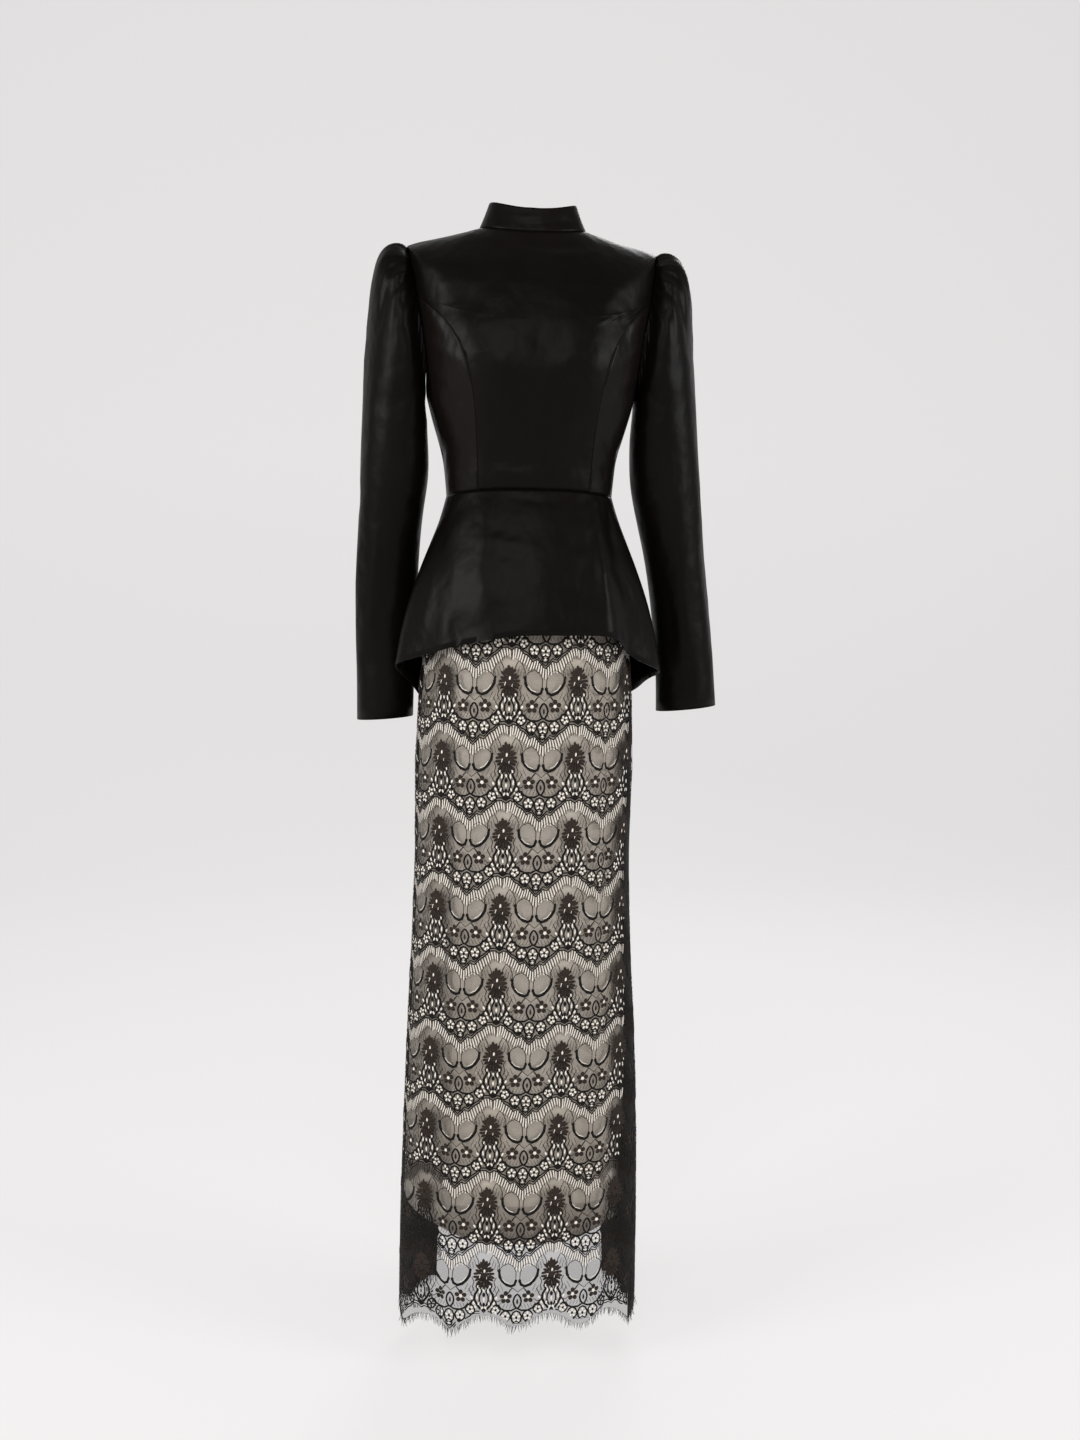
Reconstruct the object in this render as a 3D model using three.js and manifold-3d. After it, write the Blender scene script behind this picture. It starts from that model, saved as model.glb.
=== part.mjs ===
// Tunic and skirt set, worn and hollow: a fitted satin tunic with a stand collar, princess seams,
// gathered sleeve heads and a high-low peplum, over a long lace skirt with its own lining.
//
// Millimetres, +Z up, the front faces -Y and +X is the viewer's right. The origin is the point
// between the shoulders, at the root of the neck, where the wearer carries the tunic.
//
// Every cloth piece is a wall: a grid of outer points worked out from a surface, and the same
// grid moved inwards by the cloth's thickness. Neighbouring pieces stay a seam gap apart.

import * as THREE from 'three';
import { mergeVertices } from 'three/addons/utils/BufferGeometryUtils.js';
import Module from 'manifold-3d';

const wasm = await Module();
wasm.setup();

// ---- Driving sizes ------------------------------------------------------------------------

const SATIN_WALL = 1.5;      // satin with its fused interlining
const LACE_WALL = 1.2;
const LINING_WALL = 1.0;
const SEAM_GAP = 0.3;
const ARMHOLE_GAP = 0.6;     // the sleeve head starts this far outside the armhole edge
const COLLAR_LIFT = 0.6;     // the collar's foot above the neckline
const TORSO_CORNER = 2.3;    // superellipse exponents of the horizontal sections
const PEPLUM_CORNER = 2.2;

// Tunic body: closed rings from the neckline down to the waist seam. `half` is the reach to each
// side at height `sideZ`; `front` and `back` are depths at `frontZ` and `backZ`.
// `armFront` and `armBack` are the degrees that the armhole cuts out of a ring.
const TORSO = [
  { ring: 'neckline',     s: 0,  half: 69,    sideZ: 0,    front: 52,   frontZ: -13,  back: 56,   backZ: 12 },
  { ring: 'collarbone',   s: 1,  half: 101,   sideZ: -9,   front: 70,   frontZ: -40,  back: 72,   backZ: -22 },
  { ring: 'yoke',         s: 2,  half: 132,   sideZ: -17,  front: 86,   frontZ: -68,  back: 86,   backZ: -56 },
  { ring: 'shoulder',     s: 3,  half: 160,   sideZ: -25,  front: 97,   frontZ: -95,  back: 94,   backZ: -92 },
  { ring: 'armhole high', s: 4,  half: 157,   sideZ: -70,  front: 106,  frontZ: -122, back: 99,   backZ: -122 },
  { ring: 'armhole mid',  s: 5,  half: 149,   sideZ: -120, front: 112,  frontZ: -153, back: 101,  backZ: -153 },
  { ring: 'armhole low',  s: 6,  half: 141,   sideZ: -168, front: 113,  frontZ: -182, back: 97,   backZ: -182 },
  { ring: 'underarm',     s: 7,  half: 134,   sideZ: -214, front: 108,  frontZ: -214, back: 90,   backZ: -214 },
  { ring: 'midriff',      s: 8,  half: 124,   sideZ: -252, front: 97,   frontZ: -252, back: 80,   backZ: -252 },
  { ring: 'high waist',   s: 9,  half: 111.5, sideZ: -295, front: 85,   frontZ: -293, back: 71,   backZ: -297 },
  { ring: 'waist seam',   s: 10, half: 107.5, sideZ: -339, front: 78.4, frontZ: -334, back: 67.6, backZ: -342 },
];
const ARMHOLE = [
  { s: 3, front: 0,    back: 0 },
  { s: 3.4, front: 11, back: 12 },
  { s: 4, front: 17,   back: 20 },
  { s: 5, front: 19,   back: 23 },
  { s: 6, front: 16.5, back: 19 },
  { s: 6.6, front: 10, back: 12 },
  { s: 7, front: 0,    back: 0 },
];
// Distance from the centre front to the princess seam.
const PRINCESS = [
  { s: 4.3, reach: 148 },
  { s: 4.55, reach: 124 },
  { s: 4.9, reach: 109 },
  { s: 5.4, reach: 97.5 },
  { s: 6, reach: 90 },
  { s: 7, reach: 81 },
  { s: 8, reach: 75.5 },
  { s: 10, reach: 70.5 },
];
const RING_DIP = 1.4;        // how soon a ring drops from the side to the middle of the front or back
const BUST = { reach: 76, z: -172, rise: 9, spread: 40 };
const PRINCESS_TOP = 4.3;
const UNDERARM = 7;
const SHOULDER = 3;
const ARMHOLE_STEPS = [3, 3.4, 3.8, 4.3, 4.55, 4.9, 5.4, 5.9, 6.3, 6.7, 7];
const ABOVE_PRINCESS = 4.2;
const SIDE_FRONT_TOP = 4.315;
const YOKE_STEPS = [0, 0.6, 1.2, 1.8, 2.4];
const WAIST_STEPS = [7.6, 8.2, 8.8, 9.4, 10];

// Collar: a standing band, closed at the centre back by the zip.
const COLLAR_TOP = { half: 57, sideZ: 31, front: 46, frontZ: 17, back: 50, backZ: 42 };

// Sleeves: rings from the armhole to the cuff. A ring lies through its outer and inner points
// (distance from the centre line, height), `midY` back or forward, and is `depth` deep to each side.
const SLEEVE_HEAD = [
  { ring: 'ease',  outerX: 172,   outerZ: -22,  innerX: 135.5, innerZ: -220, midY: 1, depth: 51, pleat: 2.6 },
  { ring: 'puff',  outerX: 187,   outerZ: -26,  innerX: 135.2, innerZ: -226, midY: 1, depth: 59, pleat: 2.6 },
  { ring: 'crown', outerX: 198,   outerZ: -41,  innerX: 134.5, innerZ: -232, midY: 1, depth: 61, pleat: 1.6 },
  { ring: 'cap',   outerX: 204.5, outerZ: -70,  innerX: 133.5, innerZ: -240, midY: 1, depth: 59, pleat: 0.6 },
  { ring: 'upper', outerX: 208.5, outerZ: -115, innerX: 132.5, innerZ: -250, midY: 2, depth: 56, pleat: 0 },
  { ring: 'bicep', outerX: 212.5, outerZ: -168, innerX: 131.5, innerZ: -266, midY: 4, depth: 53, pleat: 0 },
];
const SLEEVE_ARM = {
  left: [
    { ring: 'low bicep', outerX: 216,   outerZ: -228, innerX: 129.8, innerZ: -288, midY: 8,  depth: 50,   pleat: 0 },
    { ring: 'elbow top', outerX: 218.5, outerZ: -290, innerX: 129.5, innerZ: -320, midY: 13, depth: 47,   pleat: 0 },
    { ring: 'elbow',     outerX: 219.5, outerZ: -350, innerX: 137,   innerZ: -360, midY: 22, depth: 44,   pleat: 0 },
    { ring: 'forearm',   outerX: 223.5, outerZ: -415, innerX: 141.5, innerZ: -424, midY: 35, depth: 41,   pleat: 0 },
    { ring: 'low arm',   outerX: 224,   outerZ: -490, innerX: 143.5, innerZ: -496, midY: 48, depth: 38.5, pleat: 0 },
    { ring: 'wrist',     outerX: 222.5, outerZ: -565, innerX: 145.5, innerZ: -566, midY: 57, depth: 37,   pleat: 0 },
    { ring: 'cuff',      outerX: 222,   outerZ: -634, innerX: 146.5, innerZ: -628, midY: 60, depth: 36,   pleat: 0 },
  ],
  right: [
    { ring: 'low bicep', outerX: 219.5, outerZ: -228, innerX: 132,   innerZ: -288, midY: 8,  depth: 50,   pleat: 0 },
    { ring: 'elbow top', outerX: 224.5, outerZ: -290, innerX: 134,   innerZ: -322, midY: 13, depth: 47,   pleat: 0 },
    { ring: 'elbow',     outerX: 232.5, outerZ: -348, innerX: 144,   innerZ: -362, midY: 20, depth: 44,   pleat: 0 },
    { ring: 'forearm',   outerX: 237,   outerZ: -412, innerX: 160,   innerZ: -420, midY: 28, depth: 41,   pleat: 0 },
    { ring: 'low arm',   outerX: 247.5, outerZ: -488, innerX: 171.5, innerZ: -494, midY: 36, depth: 38.5, pleat: 0 },
    { ring: 'wrist',     outerX: 257.5, outerZ: -560, innerX: 179.5, innerZ: -562, midY: 42, depth: 37,   pleat: 0 },
    { ring: 'cuff',      outerX: 262,   outerZ: -610, innerX: 180.5, innerZ: -619, midY: 44, depth: 36.5, pleat: 0 },
  ],
};
const PLEATS_PER_STEP = 2;   // gathers sewn into each armhole step of the sleeve head
const HEM_PLEAT = 1.0;       // their height at the armhole itself

// Peplum: rings between the waist seam (t = 0) and its hem (t = 1); `flute` scales the folds.
const PEPLUM = [
  { t: 0,    half: 107.5, front: 78.4, back: 67.6, flute: 0 },
  { t: 0.12, half: 114,   front: 87,   back: 82,   flute: 0.06 },
  { t: 0.25, half: 123,   front: 96,   back: 99,   flute: 0.2 },
  { t: 0.5,  half: 138,   front: 111,  back: 121,  flute: 0.5 },
  { t: 0.75, half: 148,   front: 119,  back: 129,  flute: 0.8 },
  { t: 1,    half: 152.5, front: 124,  back: 134,  flute: 1 },
];
const PEPLUM_STEPS = [0, 0.07, 0.16, 0.3, 0.48, 0.66, 0.84, 1];
// Folds of the peplum at its hem: out from the body (rise) or in (a negative rise).
const PEPLUM_FOLDS = [
  { fold: 'right side flute',  angle: 10,  rise: 24, spread: 13 },
  { fold: 'right front tuck',  angle: 35,  rise: -6, spread: 8 },
  { fold: 'right front flute', angle: 54,  rise: 8,  spread: 9 },
  { fold: 'left front tuck',   angle: 124, rise: -5, spread: 8 },
  { fold: 'left side flute',   angle: 170, rise: 24, spread: 13 },
  { fold: 'left arm tuck',     angle: 200, rise: -7, spread: 12 },
  { fold: 'left back flute',   angle: 222, rise: 13, spread: 9 },
  { fold: 'left back tuck',    angle: 240, rise: -6, spread: 8 },
  { fold: 'left tail flute',   angle: 257, rise: 11, spread: 8 },
  { fold: 'right tail flute',  angle: 285, rise: 12, spread: 8 },
  { fold: 'right back tuck',   angle: 303, rise: -7, spread: 8 },
  { fold: 'right back flute',  angle: 322, rise: 12, spread: 9 },
  { fold: 'right arm flute',   angle: 345, rise: 8,  spread: 9 },
];
// Height of the peplum's high-low hem round the body.
const PEPLUM_HEM = [
  { angle: 0, z: -571 }, { angle: 10, z: -563 }, { angle: 26, z: -549 }, { angle: 42, z: -531 },
  { angle: 58, z: -515 }, { angle: 90, z: -515 }, { angle: 112, z: -522 }, { angle: 132, z: -532 },
  { angle: 152, z: -544 }, { angle: 170, z: -557 }, { angle: 182, z: -572 }, { angle: 200, z: -603 },
  { angle: 222, z: -628 }, { angle: 250, z: -640 }, { angle: 285, z: -641 }, { angle: 312, z: -624 },
  { angle: 336, z: -597 }, { angle: 360, z: -571 },
];

// Skirt: horizontal sections from the waistband down to the hem.
const SKIRT = [
  { z: -1440, half: 159,   front: 95,  back: 102, shift: -2,   corner: 2.4 },
  { z: -1335, half: 158.8, front: 97,  back: 102, shift: -2,   corner: 2.4 },
  { z: -1170, half: 156,   front: 99.5, back: 102, shift: -1,  corner: 2.4 },
  { z: -1050, half: 151.5, front: 102, back: 103, shift: -1.5, corner: 2.4 },
  { z: -960,  half: 147,   front: 104, back: 104, shift: -3,   corner: 2.4 },
  { z: -870,  half: 142,   front: 106, back: 105, shift: -3,   corner: 2.4 },
  { z: -800,  half: 140.5, front: 107, back: 107, shift: -3.5, corner: 2.4 },
  { z: -700,  half: 142.5, front: 109, back: 111, shift: -2.5, corner: 2.36 },
  { z: -610,  half: 141,   front: 109, back: 114, shift: -2,   corner: 2.25 },
  { z: -560,  half: 137,   front: 107, back: 114, shift: -1,   corner: 2.2 },
  { z: -500,  half: 130,   front: 102, back: 108, shift: 0,    corner: 2.2 },
  { z: -450,  half: 123,   front: 94,  back: 97,  shift: 0,    corner: 2.2 },
  { z: -400,  half: 113,   front: 83,  back: 80,  shift: 0,    corner: 2.24 },
  { z: -365,  half: 106,   front: 77,  back: 68,  shift: 0,    corner: 2.3 },
  { z: -334,  half: 105.7, front: 76.6, back: 65.8, shift: 0,  corner: 2.3 },
];
const LACE_LEVELS = [
  -365, -400, -450, -510, -580, -690, -800, -920, -1010, -1045, -1100, -1180, -1270, -1360,
];
const LINING_LEVELS = [-365, -400, -450, -510, -580, -690, -800, -920, -1050, -1180];
// Two standing creases where the flat front turns into the side of the skirt.
const CREASES = [
  { angle: 49, side: -1 },
  { angle: 131, side: 1 },
];
const CREASE = { depth: 5, fade: 8, lip: 2.5, topZ: -560, fullZ: -700 };
const LINING_HOLLOW = { depth: 6.5, spread: 12 };   // where the lining passes behind a crease
// The lining's outer face inside the lace's outer face, sewn in at the waist and free below.
const LINING_INSET = { waist: 1.5, waistZ: -365, free: 3.5, freeZ: -450 };
const SKIRT_SEAT = SATIN_WALL + 0.9;    // the skirt's top edge inside the tunic's outer face
const LINING_HEM = { frontZ: -1302, sideZ: -1262, backZ: -1285 };
const WAISTBAND = { top: 9.25, bottom: 10, wall: 1.5 };

// Scalloped hem: ten repeats of the lace round the skirt, pointed down.
const SCALLOPS = 10;
const SCALLOP = { tipX: -10, tipZ: -1414, sideDrop: 16, backDrop: 20, depth: 24, columns: 6 };
// Walking vent in the centre back of the lace: it opens from its top down to the hem.
const VENT = { topZ: -1010, leftWidth: 106, rightWidth: 126, clearHalf: 0.2, shape: 2.6 };
// The right side seam swings forward below the hip, so that the back shows beside the front.
const SEAM_SWING = { angle: 28, topZ: -560, bottomZ: -1300 };

// Eyelash fringe on the scallops.
const FRINGE = {
  frontPlaces: [0.27, 0.73], backPlaces: [0.5], length: 8.5, unevenness: 1.8, root: 1.4, strip: 1.2, thickness: 0.9, gap: 0.45, flare: 1.5,
};

// Zip slider and pull tab at the top of the collar's back seam.
const SLIDER = { width: 5.2, height: 9, thickness: 1.8, earThickness: 0.9, earHeight: 3.2, standOff: 0.4, z: 33 };
const PULL = { length: 21, width: 5, thickness: 1.1, knuckle: 1.1, knuckleLength: 2.8, pivotY: 3.7, pivotZ: 2.2 };

const SATIN = { color: 0x161313, roughness: 0.42, metalness: 0 };
const LACE = { color: 0x1b1817, roughness: 0.85, metalness: 0 };
const LINING = { color: 0xcbbfb1, roughness: 0.45, metalness: 0 };
const ZIP_METAL = { color: 0x2b2a2a, roughness: 0.4, metalness: 0.8 };

// ---- Small helpers ------------------------------------------------------------------------

const radians = (degrees) => (degrees * Math.PI) / 180;
const mix = (a, b, t) => a + (b - a) * t;
const clamp = (value, low, high) => Math.min(high, Math.max(low, value));
const smoothstep = (low, high, value) => {
  const t = clamp((value - low) / (high - low), 0, 1);
  return t * t * (3 - 2 * t);
};

// Smooth value of one column of a table at a place along its key column (monotone cubic).
function along(table, key, column, place) {
  const rows = table;
  const last = rows.length - 1;
  if (place <= rows[0][key]) return rows[0][column];
  if (place >= rows[last][key]) return rows[last][column];
  let i = 0;
  while (place > rows[i + 1][key]) i += 1;
  const slope = (k) => (rows[k + 1][column] - rows[k][column]) / (rows[k + 1][key] - rows[k][key]);
  const tangent = (k) => {
    if (k === 0) return slope(0);
    if (k === last) return slope(last - 1);
    const before = slope(k - 1);
    const after = slope(k);
    return before * after <= 0 ? 0 : (2 * before * after) / (before + after);
  };
  const width = rows[i + 1][key] - rows[i][key];
  const t = (place - rows[i][key]) / width;
  const a = rows[i][column];
  const b = rows[i + 1][column];
  const ma = tangent(i) * width;
  const mb = tangent(i + 1) * width;
  return a + ma * t + (3 * (b - a) - 2 * ma - mb) * t * t + (ma + mb - 2 * (b - a)) * t * t * t;
}

// A point of a horizontal section: angle 0 is +X, 90 the front, 180 -X and 270 the back.
function sectionPoint(section, degrees, corner) {
  const c = Math.cos(radians(degrees));
  const s = Math.sin(radians(degrees));
  const power = 2 / corner;
  const x = section.half * Math.sign(c) * Math.abs(c) ** power;
  const depth = s >= 0 ? -section.front : section.back;
  const y = depth * Math.abs(s) ** power;
  return new THREE.Vector3(x, y, 0);
}

// The angle at which a section of the torso reaches a given distance from the centre front.
function angleAtReach(half, reach) {
  const c = clamp(reach / half, 0, 1) ** (TORSO_CORNER / 2);
  return (Math.acos(c) * 180) / Math.PI;
}

// Outward normal of a surface given as a function of two parameters.
function normalOf(surface, u, v, du, dv, inside) {
  const across = surface(u + du, v).sub(surface(u - du, v));
  const down = surface(u, v + dv).sub(surface(u, v - dv));
  const normal = across.cross(down).normalize();
  const outwards = surface(u, v).sub(inside);
  return normal.dot(outwards) < 0 ? normal.negate() : normal;
}

// One closed body from an outer and an inner grid of points. A wrapped grid is a tube.
function wall(outer, inner, wrapped) {
  const rows = outer.length;
  const columns = outer[0].length;
  const positions = [...outer.flat(), ...inner.flat()].flatMap((p) => [p.x, p.y, p.z]);
  const indices = [];
  const id = (side, r, c) => side * rows * columns + r * columns + (c % columns);
  const quad = (a, b, c, d) => indices.push(a, b, c, a, c, d);
  const spans = wrapped ? columns : columns - 1;
  for (let r = 0; r < rows - 1; r += 1) {
    for (let c = 0; c < spans; c += 1) {
      quad(id(0, r, c), id(0, r + 1, c), id(0, r + 1, c + 1), id(0, r, c + 1));
      quad(id(1, r, c), id(1, r, c + 1), id(1, r + 1, c + 1), id(1, r + 1, c));
    }
  }
  for (let c = 0; c < spans; c += 1) {
    quad(id(0, 0, c), id(0, 0, c + 1), id(1, 0, c + 1), id(1, 0, c));
    quad(id(0, rows - 1, c), id(1, rows - 1, c), id(1, rows - 1, c + 1), id(0, rows - 1, c + 1));
  }
  if (!wrapped) {
    const end = columns - 1;
    for (let r = 0; r < rows - 1; r += 1) {
      quad(id(0, r, 0), id(1, r, 0), id(1, r + 1, 0), id(0, r + 1, 0));
      quad(id(0, r, end), id(0, r + 1, end), id(1, r + 1, end), id(1, r, end));
    }
  }
  return facingOut(positions, indices);
}

// A geometry whose faces point outwards, whichever way its grid ran.
function facingOut(positions, indices) {
  const corner = (i) => new THREE.Vector3().fromArray(positions, 3 * indices[i]);
  let volume = 0;
  for (let i = 0; i < indices.length; i += 3) {
    volume += corner(i).dot(corner(i + 1).cross(corner(i + 2)));
  }
  const ordered = volume > 0 ? indices : indices.toReversed();
  const geometry = new THREE.BufferGeometry();
  geometry.setAttribute('position', new THREE.Float32BufferAttribute(positions, 3));
  geometry.setIndex(ordered);
  return geometry;
}

// A cloth panel between two edges of a surface: `left` and `right` give the edge angle at a row.
function panelWall({ surface, rows, columns, left, right, thickness, inside, inset = 0, step = 0.02 }) {
  const outer = [];
  const inner = [];
  for (const v of rows) {
    const outerRow = [];
    const innerRow = [];
    for (let c = 0; c <= columns; c += 1) {
      const u = mix(left(v), right(v), c / columns);
      const point = surface(u, v);
      const normal = normalOf(surface, u, v, 0.4, step, inside(point));
      outerRow.push(point.clone().addScaledVector(normal, -inset));
      innerRow.push(point.addScaledVector(normal, -inset - thickness));
    }
    outer.push(outerRow);
    inner.push(innerRow);
  }
  return wall(outer, inner, false);
}

const group = new THREE.Group();

function addPiece(name, geometry, finish, parent = group) {
  const mesh = new THREE.Mesh(geometry, new THREE.MeshStandardMaterial(finish));
  mesh.name = name;
  parent.add(mesh);
  return mesh;
}

// ---- Tunic body ---------------------------------------------------------------------------

function torsoSection(s) {
  const value = (column) => along(TORSO, 's', column, s);
  return {
    half: value('half'), sideZ: value('sideZ'),
    front: value('front'), frontZ: value('frontZ'),
    back: value('back'), backZ: value('backZ'),
  };
}

// The body's outer face, with the fullness of the bust let in by the princess seams.
function torso(degrees, s) {
  const section = torsoSection(s);
  const point = sectionPoint(section, degrees, TORSO_CORNER);
  const sine = Math.sin(radians(degrees));
  const middleZ = sine >= 0 ? section.frontZ : section.backZ;
  point.z = mix(section.sideZ, middleZ, Math.abs(sine) ** RING_DIP);
  if (sine > 0) {
    const away = Math.hypot(Math.abs(point.x) - BUST.reach, point.z - BUST.z);
    point.y -= BUST.rise * sine * Math.exp(-0.5 * (away / BUST.spread) ** 2);
  }
  return point;
}

const belowPoint = (point) => new THREE.Vector3(0, 0, point.z - 90);
const seamPad = (half) => ((SEAM_GAP / 2 / half) * 180) / Math.PI;

// The armhole's edge, straight between its steps so that panels and sleeve share it.
function armholeAngle(side, s) {
  if (s <= SHOULDER || s >= UNDERARM) return 0;
  let i = 0;
  while (s > ARMHOLE_STEPS[i + 1]) i += 1;
  const low = ARMHOLE_STEPS[i];
  const high = ARMHOLE_STEPS[i + 1];
  const t = (s - low) / (high - low);
  return mix(along(ARMHOLE, 's', side, low), along(ARMHOLE, 's', side, high), t);
}

// The princess seam leaves the armhole with room for the side front's narrow end.
const SIDE_FRONT_END = 1.2;
const princessAngle = (s) => Math.max(
  angleAtReach(torsoSection(s).half, along(PRINCESS, 's', 'reach', s)),
  armholeAngle('front', s) + SIDE_FRONT_END,
);

// The seam runs across the rings near its top, so its gap is wider there along a ring.
const princessPad = (s) => seamPad(torsoSection(s).half) * (1 + 3 * (1 - smoothstep(PRINCESS_TOP, 5.4, s)));

function frontPanelEdge(s) {
  if (s < PRINCESS_TOP) return armholeAngle('front', s) + seamPad(torsoSection(s).half);
  return princessAngle(s) + princessPad(s);
}

const bodyPanel = (rows, columns, left, right) => panelWall({
  surface: torso, rows, columns, left, right, thickness: SATIN_WALL, inside: belowPoint,
});

const lowerRows = [SIDE_FRONT_TOP, ...ARMHOLE_STEPS.filter((s) => s > PRINCESS_TOP), ...WAIST_STEPS];
const fullRows = [...YOKE_STEPS, ...ARMHOLE_STEPS, ...WAIST_STEPS];

const frontRows = [...fullRows, ABOVE_PRINCESS, SIDE_FRONT_TOP].sort((a, b) => a - b);
addPiece('front_centre', bodyPanel(frontRows, 12, frontPanelEdge, (s) => 180 - frontPanelEdge(s)), SATIN);

// A side front tapers to the armhole at its top, where it keeps a narrow end.
const sideFrontOuter = (s) => armholeAngle('front', s) + seamPad(torsoSection(s).half);
const sideFrontInner = (s) => princessAngle(s) - princessPad(s);
addPiece('side_front_right', bodyPanel(lowerRows, 5, sideFrontOuter, sideFrontInner), SATIN);
addPiece('side_front_left', bodyPanel(
  lowerRows, 5, (s) => 180 - sideFrontOuter(s), (s) => 180 - sideFrontInner(s),
), SATIN);

const backOuter = (s) => armholeAngle('back', s) + seamPad(torsoSection(s).half);
const backCentre = (s) => 90 - seamPad(torsoSection(s).back);
addPiece('back_right', bodyPanel(fullRows, 8, (s) => 360 - backOuter(s), (s) => 360 - backCentre(s)), SATIN);
addPiece('back_left', bodyPanel(fullRows, 8, (s) => 180 + backOuter(s), (s) => 180 + backCentre(s)), SATIN);

// ---- Collar -------------------------------------------------------------------------------

function collarSurface(degrees, t) {
  const foot = torso(degrees, 0);
  foot.z += COLLAR_LIFT;
  const top = sectionPoint(COLLAR_TOP, degrees, TORSO_CORNER);
  const sine = Math.sin(radians(degrees));
  top.z = mix(COLLAR_TOP.sideZ, sine >= 0 ? COLLAR_TOP.frontZ : COLLAR_TOP.backZ, sine * sine);
  const waisted = t + 0.18 * t * (1 - t);
  return new THREE.Vector3(mix(foot.x, top.x, waisted), mix(foot.y, top.y, waisted), mix(foot.z, top.z, t));
}

const collarPad = seamPad(COLLAR_TOP.back);
addPiece('collar', panelWall({
  surface: collarSurface, rows: [0, 0.35, 0.7, 1], columns: 24,
  left: () => -90 + collarPad, right: () => 270 - collarPad,
  thickness: SATIN_WALL, inside: (p) => new THREE.Vector3(0, 0, p.z),
}), SATIN);

// ---- Sleeves ------------------------------------------------------------------------------

// The armhole as a loop of places: down the front from the shoulder and up the back. The steps
// of the sleeve head are divided again, so that each can carry its gathers.
function armholeLoop(sign) {
  const places = [];
  const toBody = (side, s) => {
    const angle = armholeAngle(side, s) * (side === 'front' ? 1 : -1);
    const point = torso(angle, s);
    point.x *= sign;
    return point;
  };
  const addStep = (side, from, to) => {
    const inHead = Math.min(from, to) < PRINCESS_TOP && Math.max(from, to) <= PRINCESS_TOP;
    const parts = inHead ? 2 * PLEATS_PER_STEP : 1;
    for (let k = 0; k < parts; k += 1) {
      const point = toBody(side, from).lerp(toBody(side, to), k / parts);
      places.push({ point, raised: inHead && k % 2 === 1 });
    }
  };
  for (let i = 0; i < ARMHOLE_STEPS.length - 1; i += 1) {
    addStep('front', ARMHOLE_STEPS[i], ARMHOLE_STEPS[i + 1]);
  }
  for (let i = ARMHOLE_STEPS.length - 1; i > 0; i -= 1) {
    addStep('back', ARMHOLE_STEPS[i], ARMHOLE_STEPS[i - 1]);
  }
  return places;
}

function sleeve(sign, armRings) {
  const loop = armholeLoop(sign);
  const centre = loop.reduce((sum, place) => sum.add(place.point), new THREE.Vector3());
  centre.divideScalar(loop.length);
  const height = loop[0].point.z - centre.z;
  const reach = Math.max(...loop.map((place) => Math.abs(place.point.y - centre.y)));
  const base = [loop.map(({ point }) => new THREE.Vector3(point.x + sign * ARMHOLE_GAP, point.y, point.z))];
  const pleats = [HEM_PLEAT];
  for (const ring of [...SLEEVE_HEAD, ...armRings]) {
    const outer = new THREE.Vector3(sign * ring.outerX, ring.midY, ring.outerZ);
    const inner = new THREE.Vector3(sign * ring.innerX, ring.midY, ring.innerZ);
    const middle = outer.clone().add(inner).multiplyScalar(0.5);
    const radius = outer.clone().sub(inner).multiplyScalar(0.5);
    base.push(loop.map(({ point }) => {
      const turn = Math.atan2((centre.y - point.y) / reach, (point.z - centre.z) / height);
      const place = middle.clone().addScaledVector(radius, Math.cos(turn));
      place.y -= ring.depth * Math.sin(turn);
      return place;
    }));
    pleats.push(ring.pleat);
  }
  const columns = loop.length;
  const outerGrid = [];
  const innerGrid = [];
  base.forEach((row, r) => {
    const middle = row.reduce((sum, p) => sum.add(p), new THREE.Vector3()).divideScalar(columns);
    const above = base[Math.max(r - 1, 0)];
    const below = base[Math.min(r + 1, base.length - 1)];
    const outerRow = [];
    const innerRow = [];
    row.forEach((point, c) => {
      const across = row[(c + 1) % columns].clone().sub(row[(c + columns - 1) % columns]);
      const along3 = below[c].clone().sub(above[c]);
      let normal = across.cross(along3).normalize();
      if (r === 0) normal = new THREE.Vector3(0, point.y - middle.y, point.z - middle.z).normalize();
      if (normal.dot(point.clone().sub(middle)) < 0) normal.negate();
      outerRow.push(point.clone().addScaledVector(normal, loop[c].raised ? pleats[r] : 0));
      innerRow.push(point.clone().addScaledVector(normal, -SATIN_WALL));
    });
    outerGrid.push(outerRow);
    innerGrid.push(innerRow);
  });
  return wall(outerGrid, innerGrid, true);
}

addPiece('sleeve_left', sleeve(-1, SLEEVE_ARM.left), SATIN);
addPiece('sleeve_right', sleeve(1, SLEEVE_ARM.right), SATIN);

// ---- Peplum -------------------------------------------------------------------------------

function peplum(degrees, t) {
  const turn = ((degrees % 360) + 360) % 360;
  const value = (column) => along(PEPLUM, 't', column, t);
  const point = sectionPoint({ half: value('half'), front: value('front'), back: value('back') },
    turn, mix(TORSO_CORNER, PEPLUM_CORNER, smoothstep(0, 0.3, t)));
  let rise = 0;
  for (const fold of PEPLUM_FOLDS) {
    const away = Math.abs(((turn - fold.angle + 540) % 360) - 180);
    rise += fold.rise * Math.exp(-((away / fold.spread) ** 2));
  }
  point.addScaledVector(new THREE.Vector3(Math.cos(radians(turn)), -Math.sin(radians(turn)), 0),
    rise * value('flute'));
  const waistZ = torso(turn, 10).z - SEAM_GAP;
  point.z = mix(waistZ, along(PEPLUM_HEM, 'angle', 'z', turn), t);
  return point;
}

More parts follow.
